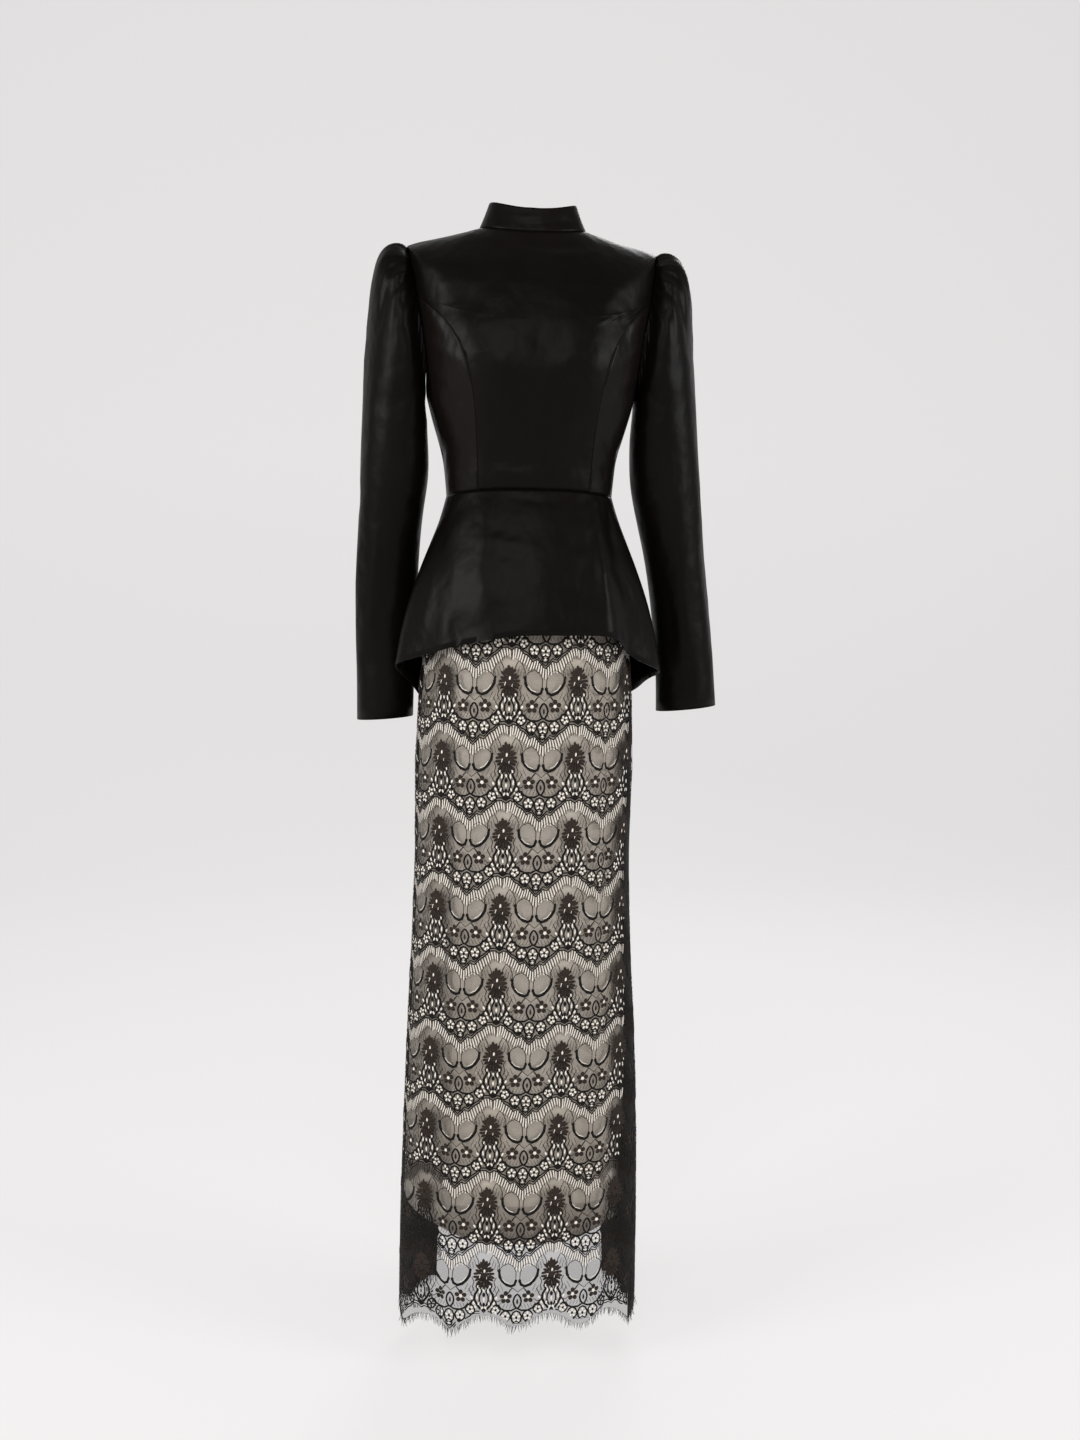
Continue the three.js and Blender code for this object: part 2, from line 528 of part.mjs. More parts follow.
const peplumPanel = (columns, from, to) => panelWall({
  surface: peplum, rows: PEPLUM_STEPS, columns, left: () => from, right: () => to,
  thickness: SATIN_WALL, inside: (p) => new THREE.Vector3(0, 0, p.z),
});
const PEPLUM_PAD = 0.1;
addPiece('peplum_front', peplumPanel(30, PEPLUM_PAD, 180 - PEPLUM_PAD), SATIN);
addPiece('peplum_back_left', peplumPanel(15, 180 + PEPLUM_PAD, 270 - PEPLUM_PAD), SATIN);
addPiece('peplum_back_right', peplumPanel(15, 270 + PEPLUM_PAD, 360 - PEPLUM_PAD), SATIN);

// ---- Skirt --------------------------------------------------------------------------------

const creaseStrength = (z) => 1 - smoothstep(CREASE.fullZ, CREASE.topZ, z);

// Depth of the standing creases: sharp on the front's side, fading over the side of the skirt.
function laceCrease(degrees, z) {
  let depth = 0;
  for (const crease of CREASES) {
    const outwards = ((degrees % 360) - crease.angle) * crease.side;
    depth += outwards >= 0 ? Math.exp(-outwards / CREASE.fade) : Math.exp(outwards / CREASE.lip);
  }
  return CREASE.depth * creaseStrength(z) * depth;
}

// The lining is too soft to crease: it gives way in a shallow hollow behind each one.
function liningHollow(degrees, z) {
  let depth = 0;
  for (const crease of CREASES) depth += Math.exp(-(((degrees - crease.angle) / LINING_HOLLOW.spread) ** 2));
  return LINING_HOLLOW.depth * creaseStrength(z) * depth;
}

function skirt(degrees, z, creaseDepth = laceCrease) {
  const value = (column) => along(SKIRT, 'z', column, z);
  const point = sectionPoint({ half: value('half'), front: value('front'), back: value('back') },
    degrees, value('corner'));
  const depth = creaseDepth(degrees, z);
  point.x += value('shift') - depth * Math.cos(radians(degrees));
  point.y += depth * Math.sin(radians(degrees));
  point.z = z;
  return point;
}

// Arc length round the hem from the front tip of a scallop, and back from it to an angle.
const HEM_SAMPLES = 1440;
const hemArc = [0];
for (let i = 1; i <= HEM_SAMPLES; i += 1) {
  const step = 360 / HEM_SAMPLES;
  hemArc.push(hemArc[i - 1] + skirt(i * step, -1440).distanceTo(skirt((i - 1) * step, -1440)));
}
const HEM_LENGTH = hemArc[HEM_SAMPLES];
const REPEAT = HEM_LENGTH / SCALLOPS;
const arcAt = (degrees) => {
  const place = (((degrees % 360) + 360) % 360) * (HEM_SAMPLES / 360);
  const i = Math.min(Math.floor(place), HEM_SAMPLES - 1);
  return mix(hemArc[i], hemArc[i + 1], place - i);
};
const angleAtArc = (arc) => {
  let low = 0;
  let high = HEM_SAMPLES;
  while (high - low > 1) {
    const middle = (low + high) >> 1;
    if (hemArc[middle] < arc) low = middle;
    else high = middle;
  }
  return ((low + (arc - hemArc[low]) / (hemArc[high] - hemArc[low])) * 360) / HEM_SAMPLES;
};
const frontTipArc = arcAt(90) - SCALLOP.tipX;

// Height of the scalloped hem: pointed tips joined by rounded hollows.
function hemZ(degrees) {
  const phase = (arcAt(degrees) - frontTipArc) / REPEAT;
  const fromTip = Math.abs(phase - Math.round(phase)) * 2;
  const sine = Math.sin(radians(degrees));
  const drop = sine > 0 ? SCALLOP.sideDrop * (1 - sine * sine) : SCALLOP.sideDrop + SCALLOP.backDrop * sine * sine;
  return SCALLOP.tipZ - drop + SCALLOP.depth * Math.sin((fromTip * Math.PI) / 2);
}

// Angles of the lace's columns: six to a scallop, with the panel's own edges.
function scallopColumns(from, to) {
  const step = REPEAT / SCALLOP.columns;
  const start = arcAt(from + 0.001);
  const end = to === 360 ? HEM_LENGTH : arcAt(to);
  const angles = [from];
  const first = Math.ceil((start - frontTipArc) / step + 0.35);
  for (let k = first; frontTipArc + k * step < end - 0.35 * step; k += 1) {
    angles.push(angleAtArc(frontTipArc + k * step));
  }
  angles.push(to);
  return angles;
}

const seamSwing = (z) => SEAM_SWING.angle * (1 - smoothstep(SEAM_SWING.bottomZ, SEAM_SWING.topZ, z));

// Half the width of the vent, as an angle at the back, at a height.
function ventAngle(z, widest) {
  const t = clamp((VENT.topZ - z) / (VENT.topZ - SCALLOP.tipZ), 0, 1);
  const halfWidth = mix(VENT.clearHalf, widest, 1 - (1 - t) ** VENT.shape);
  return 90 - (Math.acos(clamp(halfWidth / SKIRT[0].half, 0, 1) ** (SKIRT[0].corner / 2)) * 180) / Math.PI;
}

const skirtTopZ = (degrees) => torso(degrees, 10).z - SEAM_GAP;

// A skirt panel on a list of column angles; `squeeze` moves a column as the vent opens.
function skirtPanel({
  angles, levels, hem, inset, thickness, crease = laceCrease, squeeze = (angle) => angle,
}) {
  const surface = (degrees, z) => skirt(degrees, z, crease);
  const rowZ = (degrees, r) => {
    if (r === 0) return skirtTopZ(degrees);
    return r === levels.length + 1 ? hem(degrees) : levels[r - 1];
  };
  const outer = [];
  const inner = [];
  for (let r = 0; r <= levels.length + 1; r += 1) {
    const outerRow = [];
    const innerRow = [];
    for (const angle of angles) {
      const flatZ = rowZ(angle, r);
      const degrees = squeeze(angle, flatZ);
      const z = rowZ(degrees, r);
      const point = r === 0 ? torso(degrees, 10).setZ(z) : surface(degrees, z);
      const normal = normalOf(surface, degrees, z, 0.4, 1, new THREE.Vector3(0, 0, z));
      normal.z = 0;
      normal.normalize();
      if (r === 0) point.addScaledVector(normal, -SKIRT_SEAT);
      outerRow.push(point.clone().addScaledVector(normal, -inset(z)));
      innerRow.push(point.addScaledVector(normal, -inset(z) - thickness));
    }
    outer.push(outerRow);
    inner.push(innerRow);
  }
  return { geometry: wall(outer, inner, false), edge: { outer: outer.at(-1), inner: inner.at(-1) } };
}

const SKIRT_PAD = 0.08;
const padEnds = (angles) => {
  const padded = [...angles];
  padded[0] += SKIRT_PAD;
  padded[padded.length - 1] -= SKIRT_PAD;
  return padded;
};

const squeezeFront = (angle, z) => mix(seamSwing(z), 180, angle / 180);
const laceFront = skirtPanel({
  angles: padEnds(scallopColumns(0, 180)), levels: LACE_LEVELS, hem: hemZ, inset: () => 0,
  thickness: LACE_WALL, squeeze: squeezeFront,
});
addPiece('lace_front', laceFront.geometry, LACE);

// The back is cut in two halves. Below the vent's top each half is drawn towards its side seam.
const squeezeLeft = (angle, z) => mix(180, 270 - ventAngle(z, VENT.leftWidth), (angle - 180) / 90);
const squeezeRight = (angle, z) => mix(270 + ventAngle(z, VENT.rightWidth), 360 + seamSwing(z), (angle - 270) / 90);
const laceBackLeft = skirtPanel({
  angles: padEnds(scallopColumns(180, 270)), levels: LACE_LEVELS, hem: hemZ, inset: () => 0,
  thickness: LACE_WALL, squeeze: squeezeLeft,
});
const laceBackRight = skirtPanel({
  angles: padEnds(scallopColumns(270, 360)), levels: LACE_LEVELS, hem: hemZ, inset: () => 0,
  thickness: LACE_WALL, squeeze: squeezeRight,
});
addPiece('lace_back_left', laceBackLeft.geometry, LACE);
addPiece('lace_back_right', laceBackRight.geometry, LACE);

function liningHem(degrees) {
  const sine = Math.sin(radians(degrees));
  return mix(LINING_HEM.sideZ, sine >= 0 ? LINING_HEM.frontZ : LINING_HEM.backZ, sine * sine);
}

const liningInset = (z) => mix(LINING_INSET.free, LINING_INSET.waist,
  smoothstep(LINING_INSET.freeZ, LINING_INSET.waistZ, z));
const everySecond = (angles) => angles.filter((_, i) => i % 2 === 0 || i === angles.length - 1);
const liningPanel = (from, to) => skirtPanel({
  angles: padEnds(everySecond(scallopColumns(from, to))), levels: LINING_LEVELS, hem: liningHem,
  inset: liningInset, thickness: LINING_WALL, crease: liningHollow,
}).geometry;
addPiece('lining_front', liningPanel(0, 180), LINING);
addPiece('lining_back', liningPanel(180, 360), LINING);

// Waistband: an elastic band inside the tunic's waist, over which the skirt's top edge is sewn.
function waistband() {
  const columns = 32;
  const rows = [WAISTBAND.top, mix(WAISTBAND.top, WAISTBAND.bottom, 0.5), WAISTBAND.bottom];
  const outer = [];
  const inner = [];
  for (const s of rows) {
    const at = (inset) => Array.from({ length: columns }, (_, c) => {
      const angle = (360 * c) / columns;
      const point = torso(angle, s);
      const normal = normalOf(torso, angle, s, 0.4, 0.02, new THREE.Vector3(0, 0, point.z));
      normal.z = 0;
      return point.addScaledVector(normal.normalize(), -inset);
    });
    outer.push(at(SKIRT_SEAT));
    inner.push(at(SKIRT_SEAT + WAISTBAND.wall));
  }
  return wall(outer, inner, true);
}
addPiece('skirt_waistband', waistband(), LACE);

// ---- Eyelash fringe -----------------------------------------------------------------------

// A thin strip below a panel's lower edge, with pointed strands standing out of each of its steps.
function fringe(edge, places) {
  const positions = [];
  const indices = [];
  const push = (p) => positions.push(p.x, p.y, p.z) / 3 - 1;
  const quad = (a, b, c, d) => indices.push(a, b, c, a, c, d);
  const half = FRINGE.thickness / 2;
  const at = (i, t) => ({
    point: edge.outer[i].clone().add(edge.inner[i]).lerp(edge.outer[i + 1].clone().add(edge.inner[i + 1]), t)
      .multiplyScalar(0.5),
    out: edge.outer[i].clone().sub(edge.inner[i]).lerp(edge.outer[i + 1].clone().sub(edge.inner[i + 1]), t)
      .normalize(),
  });
  const section = (i, t) => {
    const { point, out } = at(i, t);
    const ridge = point.clone();
    ridge.z -= FRINGE.gap;
    const low = ridge.clone();
    low.z -= FRINGE.strip;
    return [ridge, low.clone().addScaledVector(out, half), low.addScaledVector(out, -half)].map(push);
  };
  const strand = (i, t, number, [, outA, inA], [, outB, inB]) => {
    const { point, out } = at(i, t);
    const uneven = FRINGE.unevenness * (Math.sin(number * 2.4) + 0.4 * Math.sin(number * 5.1));
    point.z -= FRINGE.gap + FRINGE.strip + FRINGE.length + uneven;
    const tip = push(point.addScaledVector(out, FRINGE.flare));
    indices.push(outA, outB, tip, outB, inB, tip, inB, inA, tip, inA, outA, tip);
  };

  let previous = section(0, 0);
  const [firstRidge, firstOut, firstIn] = previous;
  const strip = (next) => {
    const [ridgeA, outA, inA] = previous;
    const [ridgeB, outB, inB] = next;
    quad(ridgeA, ridgeB, outB, outA);
    quad(ridgeA, inA, inB, ridgeB);
    const from = previous;
    previous = next;
    return from;
  };
  const plain = (next) => {
    const [, outA, inA] = strip(next);
    const [, outB, inB] = next;
    quad(outA, outB, inB, inA);
  };
  for (let i = 0; i < edge.outer.length - 1; i += 1) {
    const root = FRINGE.root / 2 / edge.outer[i].distanceTo(edge.outer[i + 1]);
    places.forEach((place, k) => {
      plain(section(i, place - root));
      const next = section(i, place + root);
      strand(i, place, places.length * i + k, strip(next), next);
    });
    plain(section(i, 1));
  }
  const [lastRidge, lastOut, lastIn] = previous;
  indices.push(firstRidge, firstOut, firstIn, lastRidge, lastIn, lastOut);
  return facingOut(positions, indices);
}

addPiece('fringe_front', fringe(laceFront.edge, FRINGE.frontPlaces), LACE);
addPiece('fringe_back_left', fringe(laceBackLeft.edge, FRINGE.backPlaces), LACE);
addPiece('fringe_back_right', fringe(laceBackRight.edge, FRINGE.backPlaces), LACE);

// ---- Zip slider and pull ------------------------------------------------------------------

const toManifold = (geometry) => {
  geometry.deleteAttribute('normal');
  geometry.deleteAttribute('uv');
  const merged = mergeVertices(geometry, 1e-4);
  return new wasm.Manifold(new wasm.Mesh({
    numProp: 3, vertProperties: merged.attributes.position.array, triVerts: Uint32Array.from(merged.index.array),
  }));
};
const fromManifold = (solid) => {
  const mesh = solid.getMesh();
  const geometry = new THREE.BufferGeometry();
  geometry.setAttribute('position', new THREE.BufferAttribute(mesh.vertProperties, 3));
  geometry.setIndex(new THREE.BufferAttribute(mesh.triVerts, 1));
  return geometry;
};
const block = (width, depth, height, x, y, z) => new THREE.BoxGeometry(width, depth, height).translate(x, y, z);

function zipSlider() {
  const plateY = SLIDER.standOff + SLIDER.thickness / 2;
  const earX = SLIDER.width / 2 - SLIDER.earThickness / 2;
  const earDepth = PULL.pivotY + PULL.knuckle - SLIDER.standOff;
  const earY = SLIDER.standOff + earDepth / 2;
  const plate = toManifold(block(SLIDER.width, SLIDER.thickness, SLIDER.height, 0, plateY, 0));
  const ear = (side) => toManifold(block(
    SLIDER.earThickness, earDepth, SLIDER.earHeight, side * earX, earY, PULL.pivotZ,
  ));
  return fromManifold(plate.add(ear(-1)).add(ear(1)));
}

function zipPull() {
  const knuckle = new THREE.CylinderGeometry(PULL.knuckle, PULL.knuckle, PULL.knuckleLength, 16)
    .rotateZ(Math.PI / 2).translate(0, PULL.pivotY, PULL.pivotZ);
  const neck = PULL.knuckleLength / 2 - 0.2;
  const shoulder = -3;
  const outline = new THREE.Shape();
  outline.moveTo(-neck, 0);
  outline.lineTo(-neck, shoulder);
  outline.quadraticCurveTo(-PULL.width / 2, 2 * shoulder, -PULL.width / 2, -PULL.length + PULL.width / 2);
  outline.absarc(0, -PULL.length + PULL.width / 2, PULL.width / 2, Math.PI, 2 * Math.PI, false);
  outline.quadraticCurveTo(PULL.width / 2, 2 * shoulder, neck, shoulder);
  outline.lineTo(neck, 0);
  outline.closePath();
  const plate = new THREE.ExtrudeGeometry(outline, { depth: PULL.thickness, bevelEnabled: false, curveSegments: 8 })
    .rotateX(Math.PI / 2).translate(0, PULL.pivotY + PULL.thickness / 2, PULL.pivotZ);
  return fromManifold(toManifold(knuckle).add(toManifold(plate)));
}

// Both sit on the collar's back, which leans towards the neck as it rises.
const collarRise = COLLAR_TOP.backZ - TORSO[0].backZ;
const sliderT = (SLIDER.z - TORSO[0].backZ) / collarRise;
const seat = collarSurface(270, sliderT);
const lean = collarSurface(270, sliderT + 0.1).sub(collarSurface(270, sliderT - 0.1));
const zipGroup = new THREE.Group();
zipGroup.position.copy(seat);
zipGroup.rotation.x = Math.atan2(-lean.y, lean.z);
group.add(zipGroup);
addPiece('zip_slider', zipSlider(), ZIP_METAL, zipGroup);
addPiece('zip_pull', zipPull(), ZIP_METAL, zipGroup);

export default group;
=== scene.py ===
"""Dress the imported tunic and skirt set: satin shells, lined lace with its motifs, eyelash fringe and studio.

Sizes are in millimetres in the tables and helpers of this file, and in metres in every mesh.
"""

from __future__ import annotations

import logging
import math
from collections.abc import Sequence
from dataclasses import dataclass, field
from enum import Enum

import bmesh
import bpy
import numpy as np
from mathutils import Matrix, Vector
from mathutils.bvhtree import BVHTree

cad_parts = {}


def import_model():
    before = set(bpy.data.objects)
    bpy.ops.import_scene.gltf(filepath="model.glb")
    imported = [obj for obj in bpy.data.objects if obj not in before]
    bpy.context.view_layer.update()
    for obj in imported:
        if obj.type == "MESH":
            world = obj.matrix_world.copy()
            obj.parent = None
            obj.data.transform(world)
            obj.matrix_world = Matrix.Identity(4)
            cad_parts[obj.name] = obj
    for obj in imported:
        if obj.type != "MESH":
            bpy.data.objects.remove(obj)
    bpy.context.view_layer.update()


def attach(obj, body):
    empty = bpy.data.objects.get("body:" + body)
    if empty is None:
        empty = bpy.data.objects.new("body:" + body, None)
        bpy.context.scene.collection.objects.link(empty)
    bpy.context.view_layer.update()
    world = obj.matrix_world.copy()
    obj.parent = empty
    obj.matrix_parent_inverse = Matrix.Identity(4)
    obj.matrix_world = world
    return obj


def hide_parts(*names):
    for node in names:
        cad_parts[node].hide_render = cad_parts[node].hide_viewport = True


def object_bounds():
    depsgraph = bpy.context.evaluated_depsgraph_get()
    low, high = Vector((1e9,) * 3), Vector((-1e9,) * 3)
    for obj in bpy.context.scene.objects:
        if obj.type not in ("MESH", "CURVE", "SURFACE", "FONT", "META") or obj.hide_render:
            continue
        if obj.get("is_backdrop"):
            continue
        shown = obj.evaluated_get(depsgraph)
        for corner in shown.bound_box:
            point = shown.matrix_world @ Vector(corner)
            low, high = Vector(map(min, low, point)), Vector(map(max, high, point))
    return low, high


LOG = logging.getLogger("tunic_set")
MM = 0.001
BODY = "garment"


def frame_mesh(name: str) -> bmesh.types.BMesh:
    """Read a CAD piece, in metres in the row's frame.

    Args:
        name: The name of its node.

    Returns:
        The mesh.
    """
    node = bpy.data.objects[name]
    mesh = bmesh.new()
    mesh.from_mesh(node.data)
    mesh.transform(node.matrix_world)
    return mesh


def add_object(name: str, data: bpy.types.ID) -> bpy.types.Object:
    """Put new data in the scene as an object.

    Args:
        name: The object's name.
        data: The mesh, camera or light.

    Returns:
        The object.
    """
    thing = bpy.data.objects.new(name, data)
    bpy.context.scene.collection.objects.link(thing)
    return thing


def plain_mesh(name: str, points: Sequence, faces: Sequence) -> bpy.types.Mesh:
    """Make a mesh from points in millimetres.

    Args:
        name: The mesh's name.
        points: Its points.
        faces: Its faces, each the numbers of its points.

    Returns:
        The mesh.
    """
    mesh = bpy.data.meshes.new(name)
    mesh.from_pydata([tuple(c * MM for c in point) for point in points], [], faces)
    return mesh


def read_points(items: bpy.types.bpy_prop_collection, field_name: str) -> np.ndarray:
    """Read a vector of every vertex or face in millimetres.

    Args:
        items: The vertices or faces.
        field_name: The name of the vector.

    Returns:
        A row for each item.
    """
    values = np.empty(len(items) * 3)
    items.foreach_get(field_name, values)
    return values.reshape(-1, 3) / MM


def write_points(mesh: bpy.types.Mesh, points: np.ndarray) -> None:
    """Set every vertex of a mesh to a point in millimetres."""
    mesh.vertices.foreach_set("co", (points * MM).ravel())
    mesh.update()


def distances(path: np.ndarray) -> np.ndarray:
    """Give the distance along a path at each of its points."""
    return np.concatenate([[0], np.cumsum(np.hypot(*np.diff(path, axis=0).T))])


def turned(degrees: float) -> tuple[float, float]:
    """Give the cosine and the sine of an angle."""
    return math.cos(math.radians(degrees)), math.sin(math.radians(degrees))


# ---- Colours and finishes ----------------------------------------------------------------


def linear(hex_colour: str) -> tuple[float, float, float, float]:
    """Turn an sRGB hex colour into a linear one.

    Args:
        hex_colour: A colour such as "#1a1b1c".

    Returns:
        Red, green, blue and an alpha of 1, linear.
    """
    parts = [int(hex_colour[i : i + 2], 16) / 255 for i in (1, 3, 5)]
    r, g, b = (p / 12.92 if p <= 0.04045 else ((p + 0.055) / 1.055) ** 2.4 for p in parts)
    return (r, g, b, 1.0)


class Nodes:
    """A small builder over one material's node tree."""

    def __init__(self, name: str) -> None:
        """Make a material whose Principled shader is ready to set.

        Args:
            name: The material's name.
        """
        self.material = bpy.data.materials.new(name)
        self.material.use_nodes = True
        self.tree = self.material.node_tree
        self.shader = self.tree.nodes["Principled BSDF"]

    def set(self, **values: object) -> None:
        """Set the shader's sockets, named with underscores for spaces, to plain values."""
        for name, value in values.items():
            self.shader.inputs[name.replace("_", " ")].default_value = value

    def add(self, kind: str, **values: object) -> bpy.types.Node:
        """Add a node and set its plain inputs.

        Args:
            kind: The node's type.
            values: Socket names with underscores for spaces, and their values.

        Returns:
            The new node.
        """
        node = self.tree.nodes.new(kind)
        for name, value in values.items():
            node.inputs[name.replace("_", " ")].default_value = value
        return node

    def link(self, source: bpy.types.NodeSocket, target: bpy.types.NodeSocket) -> None:
        """Join an output to an input."""
        self.tree.links.new(source, target)

    def noise(
        self, scale: float, stretch: tuple[float, float, float] = (1, 1, 1), detail: float = 2.0,
        roughness: float = 0.5,
    ) -> bpy.types.Node:
        """Add a noise in Object coordinates.

        Args:
            scale: Its scale.
            stretch: The scale along each axis.
            detail: Its octaves.
            roughness: How strong the finer ones are.

        Returns:
            The noise node.
        """
        place = self.add("ShaderNodeTexCoord")
        mapping = self.add("ShaderNodeMapping", Scale=stretch)
        noise = self.add("ShaderNodeTexNoise", Scale=scale, Detail=detail, Roughness=roughness)
        self.link(place.outputs["Object"], mapping.inputs["Vector"])
        self.link(mapping.outputs["Vector"], noise.inputs["Vector"])
        return noise

    def tone(self, noise: bpy.types.Node, dark: str, light: str) -> None:
        """Colour the surface between two tones by a noise.

        Args:
            noise: The noise node.
            dark: The darker sRGB hex colour.
            light: The lighter sRGB hex colour.
        """
        ramp = self.add("ShaderNodeValToRGB")
        ramp.color_ramp.elements[0].position = 0.35
        ramp.color_ramp.elements[0].color = linear(dark)
        ramp.color_ramp.elements[1].position = 0.7
        ramp.color_ramp.elements[1].color = linear(light)
        self.link(noise.outputs["Fac"], ramp.inputs["Fac"])
        self.link(ramp.outputs["Color"], self.shader.inputs["Base Color"])

    def bump(
        self, noise: bpy.types.Node, distance: float, strength: float, under: bpy.types.NodeSocket | None = None,
    ) -> bpy.types.NodeSocket:
        """Raise the surface by a noise.

        Args:
            noise: The noise node.
            distance: The relief in metres.
            strength: How much of it shows, from 0 to 1.
            under: The normal that it is laid over, if any.

        Returns:
            The raised normal's socket.
        """
        bump = self.add("ShaderNodeBump", Distance=distance, Strength=strength)
        self.link(noise.outputs["Fac"], bump.inputs["Height"])
        if under is not None:
            self.link(under, bump.inputs["Normal"])
        self.link(bump.outputs["Normal"], self.shader.inputs["Normal"])
        return bump.outputs["Normal"]


@dataclass(frozen=True)
class Satin:
    """Polyester duchess satin, woven and fused: a broad soft sheen that follows each fold."""

    name: str = "duchess_satin_woven"
    dark: str = "#070504"
    light: str = "#0d0907"
    sheen: str = "#6d6461"
    roughness: float = 0.4
    specular: float = 0.075
    weave: float = 1400.0

    def build(self) -> bpy.types.Material:
        """Make the material.

        Returns:
            The material.
        """
        nodes = Nodes(self.name)
        nodes.set(IOR=1.5, Roughness=self.roughness, Sheen_Weight=0.01, Sheen_Roughness=0.4)
        nodes.set(Sheen_Tint=linear(self.sheen), Specular_IOR_Level=self.specular)
        nodes.tone(nodes.noise(9.0, (1, 1, 0.6), detail=3.0), self.dark, self.light)
        floats = nodes.noise(1.0, (self.weave, self.weave, self.weave / 5), roughness=0.6)
        ease = nodes.noise(21.0, (1, 1, 0.8), detail=2.5)
        nodes.bump(floats, 0.00012, 0.25, nodes.bump(ease, 0.008, 0.6))
        return nodes.material


@dataclass(frozen=True)
class Thread:
    """Viscose lace cord, dyed: matt, slightly fuzzy, so it takes light only at its edges."""

    name: str
    colour: str
    light: str
    roughness: float = 0.8

    def build(self) -> bpy.types.Material:
        """Make the material.

        Returns:
            The material.
        """
        nodes = Nodes(self.name)
        nodes.set(IOR=1.47, Roughness=self.roughness, Specular_IOR_Level=0.2)
        noise = nodes.noise(700.0)
        nodes.tone(noise, self.colour, self.light)
        nodes.bump(noise, 0.0002, 0.4)
        return nodes.material


@dataclass(frozen=True)
class Net:
    """Nylon bobbin net, too fine to tell apart: it veils what is behind by a constant share."""

    name: str
    colour: str
    alpha: float

    def build(self) -> bpy.types.Material:
        """Make the material.

        Returns:
            The material.
        """
        nodes = Nodes(self.name)
        nodes.set(IOR=1.5, Roughness=0.75, Base_Color=linear(self.colour), Alpha=self.alpha)
        nodes.set(Specular_IOR_Level=0.2)
        return nodes.material


@dataclass(frozen=True)
class Lining:
    """Acetate lining satin, calendered: pale champagne grey with a dull gloss."""

    name: str = "acetate_lining_calendered"
    dark: str = "#ebdecd"
    light: str = "#f5ebde"

    def build(self) -> bpy.types.Material:
        """Make the material.

        Returns:
            The material.
        """
        nodes = Nodes(self.name)
        nodes.set(IOR=1.47, Roughness=0.42, Sheen_Weight=0.2)
        nodes.tone(nodes.noise(6.0, (1, 1, 0.35), detail=3.0), self.dark, self.light)
        nodes.bump(nodes.noise(1500.0, detail=1.0), 0.0001, 0.2)
        return nodes.material


@dataclass(frozen=True)
class Enamel:
    """Stove-enamelled zinc casting: smooth black paint with a small hard highlight."""

    name: str = "enamelled_zinc_cast"
    colour: str = "#1a1918"
    light: str = "#262423"

    def build(self) -> bpy.types.Material:
        """Make the material.

        Returns:
            The material.
        """
        nodes = Nodes(self.name)
        nodes.set(IOR=1.5, Roughness=0.28, Coat_Weight=0.4, Coat_Roughness=0.1)
        noise = nodes.noise(900.0)
        nodes.tone(noise, self.colour, self.light)
        nodes.bump(noise, 0.00005, 0.2)
        return nodes.material


# ---- Cloth shells ------------------------------------------------------------------------


class Facing(Enum):
    """The side of a piece that a crease lies on, as the direction it faces."""

    FRONT = (0.0, -1.0)
    BACK = (0.0, 1.0)
    LEFT = (-1.0, 0.0)
    RIGHT = (1.0, 0.0)


FRONT, BACK, LEFT, RIGHT = Facing
OTHER_SIDE_RISE = 0.85  # how deep and how wide the hidden sides' creases are, beside the shown side's
OTHER_SIDE_WIDTH = 1.1


@dataclass(frozen=True)
class Crease:
    """A soft uneven ridge (positive rise) or trough, along a line seen from one side.

    The line is in millimetres: across (x seen from the front or back, y seen from a side), height.
    """

    facing: Facing
    line: tuple[tuple[float, float], ...]
    rise: float
    width: float
    waver: float = 0.3
    depth: float = 1.45

    def lift(self, points: np.ndarray, outwards: np.ndarray) -> np.ndarray:
        """Work out how far the crease moves each point.

        Args:
            points: The points in millimetres, a row each.
            outwards: The horizontal outward direction at each point.

        Returns:
            The distance outwards for each point, in millimetres.
        """
        side = np.array(self.facing.value)
        facing = outwards[:, :2] @ side
        across = points[:, 0] if self.facing in (FRONT, BACK) else points[:, 1]
        place = np.stack([across, points[:, 2]], axis=1)
        nearest = np.full(len(points), np.inf)
        run = np.zeros(len(points))
        walked = 0.0
        for a, b in zip(self.line, self.line[1:]):
            start, span = np.array(a), np.array(b) - np.array(a)
            length = float(np.hypot(*span))
            t = np.clip((place - start) @ span / length**2, 0, 1)
            away = np.hypot(*(place - (start + t[:, None] * span)).T)
            closer = away < nearest
            run[closer] = walked + t[closer] * length
            nearest = np.minimum(nearest, away)
            walked += length
        along = run / max(walked, 1e-6)
        fade = np.clip(np.sin(np.pi * np.clip(along, 0.04, 0.96)), 0, 1) ** 0.6
        uneven = 1 + self.waver * np.sin(run * 0.11 + self.width) * np.cos(run * 0.043)
        width = self.width * (0.75 + 0.5 * along)
        shows = np.clip(facing / 0.4, 0, 1)
        return self.rise * self.depth * uneven * fade * shows * np.exp(-((nearest / width) ** 2))


